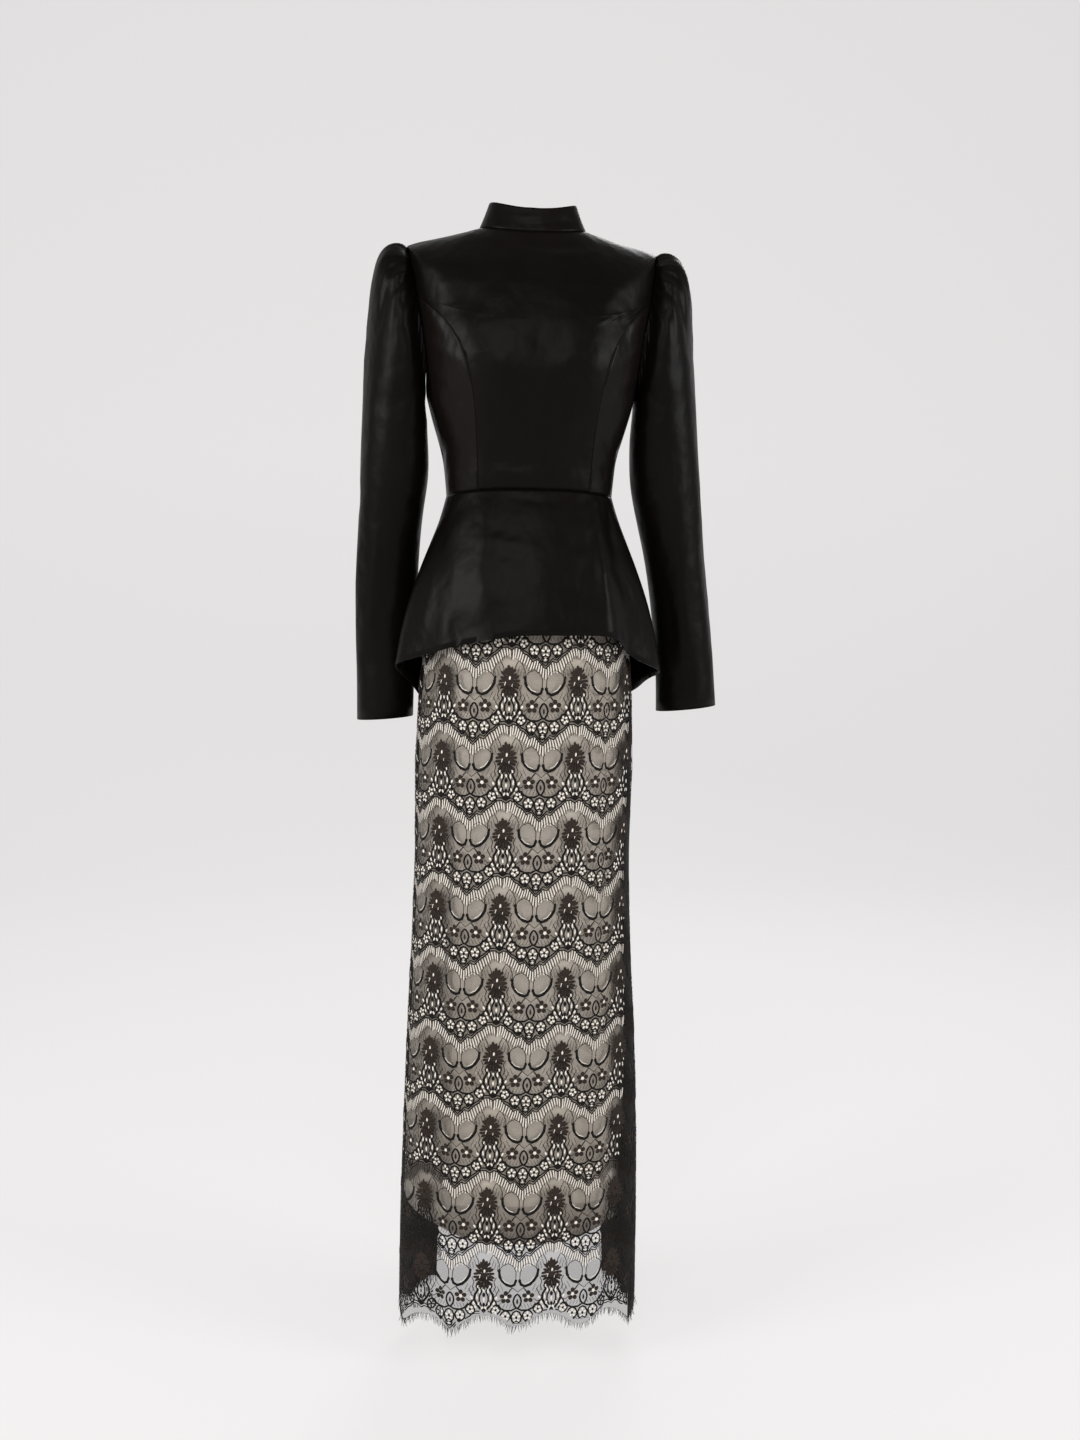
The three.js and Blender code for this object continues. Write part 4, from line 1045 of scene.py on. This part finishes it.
@dataclass
class SkirtSurface:
    """The lace's outer face as a map from (distance round from the front's middle, height)."""

    nodes: tuple[str, ...]
    top: float = -345.0
    bottom: float = -1416.0
    levels: int = 90
    rays: int = 480
    ray_start: float = 0.4
    ray_length: float = 0.39
    lift: float = 0.25
    tangent_step: float = 2.0

    def __post_init__(self) -> None:
        """Cast rays at each height and keep where they meet the lace."""
        trees = []
        for name in self.nodes:
            mesh = frame_mesh(name)
            trees.append(BVHTree.FromBMesh(mesh))
            mesh.free()
        self.heights = np.linspace(self.top, self.bottom, self.levels)
        turns = np.linspace(-math.pi, math.pi, self.rays, endpoint=False)
        self.rows: list[tuple[np.ndarray, np.ndarray, np.ndarray]] = []
        for height in self.heights:
            arcs, places, owners = [], [], []
            for turn in turns:
                towards = Vector((math.sin(turn), -math.cos(turn), 0))
                start = Vector((0, 0, height * MM)) + towards * self.ray_start
                hits = [
                    (hit[3], index, hit[0]) for index, tree in enumerate(trees)
                    if (hit := tree.ray_cast(start, -towards, self.ray_length))[0] is not None
                ]
                if hits:
                    _, owner, nearest = min(hits, key=lambda hit: hit[0])
                    places.append((nearest.x / MM, nearest.y / MM))
                    arcs.append(turn)
                    owners.append(owner)
            arc = distances(np.array(places))
            arc -= np.interp(0.0, np.array(arcs), arc)
            self.rows.append((arc, np.array(places), np.array(owners)))

    def bend(self, points: np.ndarray, node: str) -> tuple[np.ndarray, np.ndarray]:
        """Lay flat points on the skirt.

        Args:
            points: Distance round, height and relief in millimetres, a row each.
            node: The panel that they belong to.

        Returns:
            The bent points, and whether each lies on that panel.
        """
        owner = self.nodes.index(node)
        place = (self.top - points[:, 1]) / (self.top - self.bottom) * (self.levels - 1)
        index = np.clip(np.floor(place).astype(int), 0, self.levels - 2)
        share = np.clip(place - index, 0, 1)[:, None]
        bent = np.zeros((len(points), 3))
        normal = np.zeros((len(points), 2))
        inside = (place >= 0) & (place <= self.levels - 0.5)
        for i in np.unique(index):
            chosen = index == i
            upper, on_upper = self.at(i, points[chosen, 0], owner)
            lower, _ = self.at(i + 1, points[chosen, 0], owner)
            ahead_upper, _ = self.at(i, points[chosen, 0] + self.tangent_step, owner)
            bent[chosen, :2] = upper * (1 - share[chosen]) + lower * share[chosen]
            along = ahead_upper - upper
            along[np.hypot(*along.T) < 1e-6] = (1, 0)
            normal[chosen] = np.stack([along[:, 1], -along[:, 0]], axis=1)
            inside[chosen] &= on_upper
        normal /= np.maximum(np.hypot(*normal.T), 1e-9)[:, None]
        bent[:, :2] += normal * (points[:, 2:3] + self.lift)
        bent[:, 2] = points[:, 1]
        return bent, inside

    def at(self, row: int, arc: np.ndarray, owner: int) -> tuple[np.ndarray, np.ndarray]:
        """Look up places on one row.

        Args:
            row: The row's index.
            arc: Distances round from the front's middle.
            owner: The panel's index.

        Returns:
            The places, and whether each distance is on that panel.
        """
        arcs, places, owners = self.rows[row]
        found = np.stack([np.interp(arc, arcs, places[:, axis]) for axis in (0, 1)], axis=1)
        nearest = np.clip(np.searchsorted(arcs, arc), 0, len(arcs) - 1)
        return found, (arc >= arcs[0]) & (arc <= arcs[-1]) & (owners[nearest] == owner)


class GeometryTree:
    """A small builder over one Geometry Nodes tree with named float inputs."""

    def __init__(self, name: str, labels: Sequence[str]) -> None:
        """Start the tree.

        Args:
            name: Its name.
            labels: The names of its float inputs.
        """
        self.tree = bpy.data.node_groups.new(name, "GeometryNodeTree")
        for way in ("OUTPUT", "INPUT"):
            self.tree.interface.new_socket("Geometry", in_out=way, socket_type="NodeSocketGeometry")
        for label in labels:
            self.tree.interface.new_socket(label, in_out="INPUT", socket_type="NodeSocketFloat")
        self.inputs = self.node("NodeGroupInput").outputs

    def node(self, kind: str) -> bpy.types.Node:
        """Add a node of one type."""
        return self.tree.nodes.new(kind)

    def link(self, source: bpy.types.NodeSocket, target: bpy.types.NodeSocket) -> None:
        """Join an output to an input."""
        self.tree.links.new(source, target)

    def math(self, operation: str, *terms: bpy.types.NodeSocket | float) -> bpy.types.NodeSocket:
        """Add a math node.

        Args:
            operation: Its operation.
            terms: Its inputs, each a socket or a number.

        Returns:
            The result's socket.
        """
        node = self.node("ShaderNodeMath")
        node.operation = operation
        for term, target in zip(terms, node.inputs):
            if isinstance(term, float):
                target.default_value = term
            else:
                self.link(term, target)
        return node.outputs[0]

    def scatter(self, points: bpy.types.NodeSocket, thing: bpy.types.Object, **ways: bpy.types.NodeSocket) -> None:
        """End the tree with one object set at every point, realized.

        Args:
            points: The points' socket.
            thing: The object.
            ways: The sockets of its Rotation and Scale, if uneven.
        """
        source, instance = self.node("GeometryNodeObjectInfo"), self.node("GeometryNodeInstanceOnPoints")
        realize, output = self.node("GeometryNodeRealizeInstances"), self.node("NodeGroupOutput")
        source.inputs["Object"].default_value = thing
        self.link(points, instance.inputs["Points"])
        self.link(source.outputs["Geometry"], instance.inputs["Instance"])
        for name, socket in ways.items():
            self.link(socket, instance.inputs[name])
        self.link(instance.outputs[0], realize.inputs[0])
        self.link(realize.outputs[0], output.inputs[0])

    def run(self, base: bpy.types.Mesh, sizes: dict[str, float]) -> bpy.types.Mesh:
        """Run the tree on a mesh, its inputs set by identifier.

        Args:
            base: The mesh it starts from.
            sizes: The inputs' names and values.

        Returns:
            The finished plain mesh.
        """
        holder = add_object(self.tree.name, base)
        modifier = holder.modifiers.new("nodes", "NODES")
        modifier.node_group = self.tree
        for item in self.tree.interface.items_tree:
            if item.item_type == "SOCKET" and item.in_out == "INPUT" and item.name in sizes:
                modifier[item.identifier] = sizes[item.name]
        made = bpy.data.meshes.new_from_object(holder.evaluated_get(bpy.context.evaluated_depsgraph_get()))
        bpy.data.objects.remove(holder)
        return made


def lattice_tree(repeat: bpy.types.Object) -> GeometryTree:
    """Make the tree that sets one flat repeat at every point of a lattice and realizes the lot.

    Args:
        repeat: The object that holds the repeat.

    Returns:
        The tree, whose inputs are the pitches, the counts and the drift of each row.
    """
    tree = GeometryTree("lace_lattice", ("Pitch U", "Pitch V", "Columns", "Rows", "Drift"))
    value, math_node = tree.inputs, tree.math
    points, place = tree.node("GeometryNodePoints"), tree.node("ShaderNodeCombineXYZ")
    index = tree.node("GeometryNodeInputIndex").outputs[0]
    tree.link(math_node("MULTIPLY", value["Columns"], value["Rows"]), points.inputs["Count"])
    row = math_node("FLOOR", math_node("DIVIDE", math_node("ADD", index, 0.5), value["Columns"]))
    column = math_node("SUBTRACT", index, math_node("MULTIPLY", row, value["Columns"]))
    across = math_node(
        "SUBTRACT", math_node("MULTIPLY", column, value["Pitch U"]), math_node("MULTIPLY", row, value["Drift"]),
    )
    down = math_node("MULTIPLY", math_node("MULTIPLY", row, value["Pitch V"]), -1.0)
    tree.link(across, place.inputs[0])
    tree.link(down, place.inputs[1])
    tree.link(place.outputs[0], points.inputs["Position"])
    tree.scatter(points.outputs[0], repeat)
    return tree


@dataclass
class LacePanel:
    """The motifs on one lace panel: where its lattice starts and which stretch of the skirt it covers."""

    node: str
    first_column: float
    columns: int
    first_row: float
    rows: int


SIGHT = turned(6)  # the direction along which the seam's width is measured
LEVEL_FOOT, LEVEL_STEP = -1440.0, 12.0  # the heights at which it is measured


@dataclass
class Skirt:
    """The lined lace skirt: net ground, motifs, lining, waistband and eyelash fringe."""

    repeat: LaceRepeat = field(default_factory=LaceRepeat)
    hem_row: float = -1336.0
    hem_fan: float = -10.3
    hem_tip: float = -1413.2
    hem_side_drop: float = 16.0
    hem_back_drop: float = 20.0
    hem_depth: float = 24.0
    drift: float = 2.8
    front_reach: float = 208.0
    front_net: float = 0.27
    # Left of this the front net is darker: painted shade where the skirt turns away, over the side seam.
    side_seam_shade_from: float = 97.0
    lining_end: float = -1258.0
    lining_rise: float = 20.0
    lining_half: float = 105.0
    # Below this height and outside these sides, the front's bright stitches turn dark over the painted shade of the
    # skirt's inside.
    black_below: float = -1200.0
    black_left: float = -108.0
    black_right: float = 96.0
    seam_head: float = -372.0
    seam_foot: float = -1008.0
    # Heights, then the widths of the opaque strip and of the two-layer strip along the right seam: seam allowances
    # behind the net, darkened further as painted shade where the skirt turns away.
    facing: tuple[tuple[float, float, float], ...] = (
        (-560, 2.5, 22.0), (-640, 6.0, 25.0), (-720, 7.5, 27.0), (-900, 10.0, 28.0), (-1085, 12.0, 30.0),
        (-1205, 16.0, 27.0), (-1300, 17.0, 19.0), (-1370, 12.0, 13.0), (-1400, 0.0, 0.0),
    )

    def build(self) -> list[bpy.types.Object]:
        """Make the whole skirt.

        Returns:
            Its pieces.
        """
        self.lining = Lining().build()
        self.yarns = (
            Thread("viscose_cord_dyed", "#0c0a08", "#171310").build(),
            Thread("viscose_filling_dyed", "#241d18", "#352c26").build(),
            Net("nylon_net_double", "#2a2420", 0.09).build(),
            Thread("viscose_bead_stitch", "#e2dbd0", "#ece6dc").build(),
        )
        net = Net("nylon_net_single", "#1f1b18", self.front_net).build()
        # The back panels' net is an opaque near-black sheet: painted shade of the skirt's inside, seen through the
        # front net. The front's seam strip uses it too.
        painted_shade_sheet = Net("nylon_net_on_black_backing", "#0d0b0b", 1.0).build()
        pieces = []
        for node, material in (("lace_front", net), ("lace_back_left", painted_shade_sheet), ("lace_back_right", painted_shade_sheet)):
            piece = ClothShell(node, outer_only=True).build(material)
            if node == "lace_front":
                # The front lace is darkened: seam allowances with painted shade at the right seam, painted shade at the
                # left side, a painted wall shadow below the lining.
                self.darken_seam_and_paint_shade(piece, painted_shade_sheet, Net("nylon_net_seam_folded", "#171311", 0.5).build())
            pieces.append(piece)
        for node in ("lining_front", "lining_back"):
            piece = ClothShell(node, LINING_CREASES).build(self.lining)
            pieces.append(piece)
        band = ClothShell("skirt_waistband").build(self.yarns[Yarn.CORD.value])
        pieces.append(band)
        surface = SkirtSurface(("lace_front", "lace_back_left", "lace_back_right"))
        pieces += self.motifs(surface)
        pieces.append(self.back_seam(surface))
        pieces += self.fringe()
        return pieces

    def darken_seam_and_paint_shade(self, piece: bpy.types.Object, painted_shade_sheet: bpy.types.Material, folded_and_shaded_net: bpy.types.Material) -> None:
        """Darken the front lace along the right seam, where seam allowances lie behind it and painted shade stands for
        the side turning away, at the left side with painted shade over the side seam, and below the lining with a
        painted shadow of the wall behind.

        Args:
            piece: The front lace's shell.
            painted_shade_sheet: The opaque near-black finish of painted shade, for the strip at the seam's very edge.
            folded_and_shaded_net: The finish where the net's own allowance lies twice, darkened further as painted
                shade of the side turning away.
        """
        mesh = piece.data
        # hem is the darker net below the lining, a painted shadow of the wall behind the skirt; creased is the darker
        # net at the left side, painted shade where the skirt turns away over the side seam.
        hem, side_seam_shade = Net("nylon_net_hem", "#2a2624", 0.4), Net("nylon_net_creased", "#1b1714", 0.43)
        for material in (painted_shade_sheet, folded_and_shaded_net, hem.build(), side_seam_shade.build()):
            mesh.materials.append(material)
        centres = read_points(mesh.polygons, "center")
        heights = centres[:, 2]
        across = centres[:, 0] * SIGHT[0] - centres[:, 1] * SIGHT[1]
        levels = np.arange(LEVEL_FOOT, -340.0, LEVEL_STEP)
        reach = [across[np.abs(heights - level) < 2.5 * LEVEL_STEP].max(initial=-200.0) for level in levels]
        down, opaque_width, doubled_and_shaded_width = np.array(self.facing).T
        edge = np.interp(heights, levels, reach)
        opaque = edge - np.interp(-heights, -down, opaque_width)
        doubled_and_shaded = edge - np.interp(-heights, -down, doubled_and_shaded_width)
        # Faces below the lining's curved hem take the painted wall shadow.
        below_lining = heights < self.lining_end + self.lining_rise * (centres[:, 0] / self.lining_half) ** 2
        at_side = centres[:, 0] < -self.side_seam_shade_from
        # Kinds: 1 opaque painted shade, 2 seam allowance with painted shade, 3 painted wall shadow below the lining, 4
        # painted shade at the left side over the side seam.
        kinds = np.select([across > opaque, across > doubled_and_shaded, below_lining, at_side], [1, 2, 3, 4], 0)
        order = np.argsort(heights)
        starts = np.interp(levels, heights[order], opaque[order])
        self.black_from = dict(zip(levels.round().astype(int).tolist(), starts.tolist()))
        mesh.polygons.foreach_set("material_index", kinds)
        mesh.update()

    def motifs(self, surface: SkirtSurface) -> list[bpy.types.Object]:
        """Lay the lace's motifs on the three panels.

        Args:
            surface: The skirt's surface.

        Returns:
            The motifs' objects.
        """
        holder = add_object("lace_repeat", self.repeat.draw().mesh("lace_repeat"))
        tree = lattice_tree(holder)
        panels = (
            LacePanel("lace_front", -3, 6, -571 + 95.6, 10),
            LacePanel("lace_back_left", -5, 4, -571, 9),
            LacePanel("lace_back_right", 1, 5, -571, 9),
        )
        made = []
        for panel in panels:
            sizes = {
                "Pitch U": self.repeat.width * MM, "Pitch V": self.repeat.height * MM,
                "Columns": float(panel.columns), "Rows": float(panel.rows), "Drift": self.drift * MM,
            }
            lattice = tree.run(bpy.data.meshes.new(panel.node + "_points"), sizes)
            made.append(self.lay(panel, lattice, surface))
        bpy.data.objects.remove(holder)
        return made

    def lay(self, panel: LacePanel, lattice: bpy.types.Mesh, surface: SkirtSurface) -> bpy.types.Object:
        """Bend one flat lattice of motifs on to its panel, cut to the panel's edges.

        Args:
            panel: The panel.
            lattice: The flat motifs, in metres.
            surface: The skirt's surface.

        Returns:
            The motifs' object.
        """
        points = read_points(lattice.vertices, "co")
        rows_to_hem = (panel.first_row - self.hem_row) / self.repeat.height
        points[:, 0] += self.hem_fan + self.drift * rows_to_hem + panel.first_column * self.repeat.width
        points[:, 1] += panel.first_row
        bent, inside = surface.bend(points, panel.node)
        inside &= points[:, 1] > self.hem_at(points[:, 0])
        write_points(lattice, bent)
        mesh = bmesh.new()
        mesh.from_mesh(lattice)
        yarn = mesh.faces.layers.int["yarn"]
        for face in mesh.faces:
            place = face.calc_center_median() / MM
            level = LEVEL_FOOT + LEVEL_STEP * round((place.z - LEVEL_FOOT) / LEVEL_STEP)
            # Bright stitches that lie over painted shade, on the seam strip and low at the sides, take the cord's dark
            # colour.
            at_seam = place.y < 0 and place.x * SIGHT[0] - place.y * SIGHT[1] > self.black_from.get(int(level), 1e3)
            over_vent = place.z < self.black_below and not self.black_left <= place.x <= self.black_right
            kind = face[yarn]
            dark = kind == Yarn.BRIGHT.value and (at_seam or over_vent)
            face.material_index = Yarn.CORD.value if dark else kind
        mesh.verts.ensure_lookup_table()
        outside = [mesh.verts[i] for i in np.flatnonzero(~inside)]
        bmesh.ops.delete(mesh, geom=outside, context="VERTS")
        lattice.materials.clear()
        mesh.to_mesh(lattice)
        mesh.free()
        # On the back panels, whose net is painted shade, the bright stitches take the filling's dark colour.
        shown = self.yarns if panel.node == "lace_front" else (*self.yarns[:3], self.yarns[Yarn.FILLING.value])
        for material in shown:
            lattice.materials.append(material)
        if "yarn" in lattice.attributes:
            lattice.attributes.remove(lattice.attributes["yarn"])
        lattice.shade_smooth()
        lattice.name = panel.node + "_motifs"
        piece = add_object(lattice.name, lattice)
        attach(piece, BODY)
        return piece

    def hem_at(self, arc: np.ndarray) -> np.ndarray:
        """Give the scalloped hem's height.

        Args:
            arc: Distances round from the front's middle.

        Returns:
            The heights.
        """
        phase = (arc - self.hem_fan) / self.repeat.width
        from_tip = np.abs(phase - np.round(phase)) * 2
        side = np.clip(np.abs(arc) / self.front_reach, 0, 1) ** 2
        back = np.clip(np.abs(arc) / self.front_reach - 1, 0, 1)
        drop = self.hem_side_drop * side + self.hem_back_drop * back
        return self.hem_tip - drop + self.hem_depth * np.sin(from_tip * np.pi / 2)

    def back_seam(self, surface: SkirtSurface) -> bpy.types.Object:
        """Make the closed black seam between the two back panels, from the waistband to the vent.

        Args:
            surface: The skirt's surface.

        Returns:
            The seam's object.
        """
        points, faces = [], []
        left, right = (surface.nodes.index(f"lace_back_{side}") for side in ("left", "right"))
        for height, (_, places, owners) in zip(surface.heights, surface.rows):
            if height < self.seam_foot or height > self.seam_head:
                continue
            lefts, rights = places[owners == left], places[owners == right]
            a, b = (hits[np.argmin(np.abs(hits[:, 0]))] for hits in (lefts, rights))
            middle, deep = (a + b) / 2
            points += [(middle + across, deep + out, height) for across, out in ((-1.5, 0.1), (0, 0.55), (1.5, 0.1))]
        for i in range(len(points) // 3 - 1):
            a, b = 3 * i, 3 * i + 3
            faces += [(a, b, b + 1, a + 1), (a + 1, b + 1, b + 2, a + 2)]
        mesh = plain_mesh("skirt_back_seam", points, faces)
        mesh.materials.append(self.yarns[Yarn.CORD.value])
        mesh.shade_smooth()
        seam = add_object("skirt_back_seam", mesh)
        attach(seam, BODY)
        return seam

    def fringe(self) -> list[bpy.types.Object]:
        """Make the eyelash threads along the hem.

        Returns:
            The fringe's objects.
        """
        yarn = self.yarns[Yarn.FILLING.value]
        sides = ("front", "back_left", "back_right")
        return [EyelashFringe(f"fringe_{side}", f"lace_{side}_shell").build(yarn) for side in sides]


@dataclass
class EyelashFringe:
    """Fine tapered threads along one panel's scalloped edge."""

    node: str
    lace: str
    spacing: float = 1.4
    length: float = 12.0
    thickness: float = 0.46
    hem_above: float = -1384.0
    seed: float = 7.0
    steepest: float = 2.5
    turns: tuple[float, float, float] = (0.28, 0.42, 3.1)
    scales: tuple[float, float] = (0.6, 1.05)

    def edge(self) -> bpy.types.Mesh:
        """Find the lace sheet's lower edge.

        Returns:
            A mesh of that edge's line alone.
        """
        mesh = bmesh.new()
        mesh.from_mesh(bpy.data.objects[self.lace].data)
        limit = self.hem_above * MM
        rest = [
            edge for edge in mesh.edges
            if not (len(edge.link_faces) == 1 and all(vert.co.z < limit for vert in edge.verts))
            or abs(edge.verts[0].co.z - edge.verts[1].co.z)
            > self.steepest * (edge.verts[0].co.xy - edge.verts[1].co.xy).length
        ]
        bmesh.ops.delete(mesh, geom=rest, context="EDGES_FACES")
        loose = [vert for vert in mesh.verts if not vert.link_edges]
        bmesh.ops.delete(mesh, geom=loose, context="VERTS")
        line = bpy.data.meshes.new(self.node + "_edge")
        mesh.to_mesh(line)
        mesh.free()
        return line

    def thread(self) -> bpy.types.Object:
        """Make one thread: a slender three-sided spike that bends outwards.

        Returns:
            The thread's object.
        """
        rings = ((0.0, 1.0, 0.0), (0.45, 0.8, 0.3), (0.8, 0.5, 1.0), (1.0, 0.12, 1.6))
        points, faces = [], []
        for share, scale, out in rings:
            for k in range(3):
                turn = 2 * math.pi * k / 3
                radius = self.thickness * scale
                points.append((radius * math.cos(turn), radius * math.sin(turn) + out, -share * self.length))
        for ring in range(len(rings) - 1):
            for k in range(3):
                a, b = 3 * ring + k, 3 * ring + (k + 1) % 3
                faces.append((a, a + 3, b + 3, b))
        return add_object(self.node + "_thread", plain_mesh(self.node + "_thread", points, faces))

    def tree(self, thread: bpy.types.Object) -> GeometryTree:
        """Make the tree that stands threads along the edge with uneven turns and lengths.

        Args:
            thread: The thread's object.

        Returns:
            The tree.
        """
        tree = GeometryTree(self.node + "_strands", ("Spacing", "Seed"))
        curve, resample = tree.node("GeometryNodeMeshToCurve"), tree.node("GeometryNodeResampleCurve")
        resample.mode = "LENGTH"
        tree.link(tree.inputs["Geometry"], curve.inputs[0])
        tree.link(curve.outputs[0], resample.inputs[0])
        tree.link(tree.inputs["Spacing"], resample.inputs["Length"])
        ways = {}
        for way, kind, low, high in (
            ("Rotation", "FLOAT_VECTOR", [-turn for turn in self.turns], self.turns), ("Scale", "FLOAT", *self.scales),
        ):
            uneven = tree.node("FunctionNodeRandomValue")
            uneven.data_type = kind
            least, most = (s for s in uneven.inputs if s.name in ("Min", "Max") and s.enabled)
            least.default_value, most.default_value = low, high
            tree.link(tree.inputs["Seed"], uneven.inputs["Seed"])
            ways[way] = next(s for s in uneven.outputs if s.enabled)
        tree.scatter(resample.outputs[0], thread, **ways)
        return tree

    def build(self, material: bpy.types.Material) -> bpy.types.Object:
        """Make the fringe.

        Args:
            material: The threads' finish.

        Returns:
            The fringe's object.
        """
        thread = self.thread()
        mesh = self.tree(thread).run(self.edge(), {"Spacing": self.spacing * MM, "Seed": self.seed})
        bpy.data.objects.remove(thread)
        mesh.materials.clear()
        mesh.materials.append(material)
        mesh.shade_smooth()
        piece = add_object(self.node + "_threads", mesh)
        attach(piece, BODY)
        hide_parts(self.node)
        return piece


# ---- Cloth facts, zip and studio ---------------------------------------------------------


@dataclass(frozen=True)
class Cut:
    """The flat cut of one shell, or of a left and right pair, in metres."""

    piece: str
    width: float
    length: float
    area: float
    held: str
    rests: str


@dataclass(frozen=True)
class Camera:
    """The camera: its place, turn, tilt and roll, and the image height its lens is given for."""

    place: tuple[float, float, float] = (-187.5, -1958.1, -471.7)
    turn: float = 6.0
    tilt: float = 4.57
    roll: float = 0.01396
    lens: float = 37.5
    sensor: float = 36.0
    clip: tuple[float, float] = (0.05, 50.0)

    def build(self) -> None:
        """Make the camera and give it to the scene."""
        data = bpy.data.cameras.new("camera")
        data.sensor_fit, data.sensor_height, data.lens = "VERTICAL", self.sensor, self.lens
        data.clip_start, data.clip_end = self.clip
        camera = add_object("camera", data)
        (turn_c, turn_s), (tilt_c, tilt_s) = turned(self.turn), turned(self.tilt)
        forward = Vector((turn_s * tilt_c, turn_c * tilt_c, -tilt_s))
        right = Vector((turn_c, -turn_s, 0))
        up = right.cross(forward)
        axes = Matrix((right, up, -forward)).transposed().to_4x4()
        place = Matrix.Translation(Vector(self.place) * MM)
        camera.matrix_world = place @ axes @ Matrix.Rotation(self.roll, 4, "Z")
        bpy.context.scene.camera = camera


@dataclass(frozen=True)
class SoftLight:
    """A square area light that looks at the garment's middle."""

    name: str
    place: tuple[float, float, float]
    size: float
    power: float
    target: tuple[float, float, float] = (0.0, 0.0, -0.65)

    def build(self) -> None:
        """Make the light."""
        data = bpy.data.lights.new(self.name, "AREA")
        data.shape, data.size, data.energy = "SQUARE", self.size, self.power
        light = add_object(self.name, data)
        light.location = self.place
        towards = Vector(self.target) - Vector(self.place)
        light.rotation_euler = towards.to_track_quat("-Z", "Y").to_euler()


@dataclass
class Studio:
    """Plain floor, world and soft lights."""

    floor_gap: float = 0.03
    half_width: float = 9.0
    top: float = 4.0
    backdrop: float = 4.6
    cove: float = 1.6
    cove_steps: int = 12
    paint: str = "#959494"
    glow: str = "#f3f1f1"
    glow_strength: float = 0.64
    sky: str = "#e5e4e4"
    sky_strength: float = 0.4
    lights: tuple[SoftLight, ...] = (
        SoftLight("key", (-2.5, -1.3, 0.3), 1.2, 46),
        SoftLight("fill", (2.6, -1.4, 0.2), 1.2, 42),
        SoftLight("front", (-0.5, -3.3, 1.1), 2.4, 46),
        SoftLight("rim", (0.7, 2.5, 1.1), 1.4, 26),
    )

    def build(self) -> None:
        """Make the studio round the garment."""
        lowest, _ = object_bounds()
        level = lowest.z - self.floor_gap
        profile = [(-self.half_width, level), (self.backdrop - self.cove, level)]
        for k in range(1, self.cove_steps + 1):
            turn = math.pi / 2 * k / self.cove_steps
            profile.append((self.backdrop - self.cove * (1 - math.sin(turn)), level + self.cove * (1 - math.cos(turn))))
        profile.append((self.backdrop, self.top))
        points = [(x, y, z) for y, z in profile for x in (-self.half_width, self.half_width)]
        faces = [(2 * i, 2 * i + 1, 2 * i + 3, 2 * i + 2) for i in range(len(profile) - 1)]
        mesh = bpy.data.meshes.new("floor")
        mesh.from_pydata(points, [], faces)
        mesh.shade_smooth()
        nodes = Nodes("painted_plaster_floor")
        nodes.set(Base_Color=linear(self.paint), Roughness=0.9, Specular_IOR_Level=0.1)
        nodes.set(Emission_Color=linear(self.glow), Emission_Strength=self.glow_strength)
        mesh.materials.append(nodes.material)
        add_object("floor", mesh)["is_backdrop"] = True
        world = bpy.data.worlds.new("studio")
        world.use_nodes = True
        background = world.node_tree.nodes["Background"]
        background.inputs["Color"].default_value = linear(self.sky)
        background.inputs["Strength"].default_value = self.sky_strength
        bpy.context.scene.world = world
        bpy.context.scene.view_settings.view_transform = "Standard"
        for light in self.lights:
            light.build()


def dress_zip() -> None:
    """Give the slider and its pull their enamel."""
    enamel = Enamel().build()
    for name in ("zip_slider", "zip_pull"):
        mesh = bpy.data.objects[name].data
        mesh.materials.clear()
        mesh.materials.append(enamel)


def main() -> None:
    """Load the frame, dress it and finish."""
    logging.basicConfig(level=logging.INFO)
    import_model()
    Tunic().build()
    Skirt().build()
    dress_zip()
    Camera().build()
    Studio().build()
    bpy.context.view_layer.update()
    triangles = {
        piece.name: sum(len(face.vertices) - 2 for face in piece.data.polygons)
        for piece in bpy.data.objects
        if piece.type == "MESH" and not piece.hide_render
    }
    LOG.info("triangles %s in all %d", triangles, sum(triangles.values()))


if __name__ == "__main__":
    main()
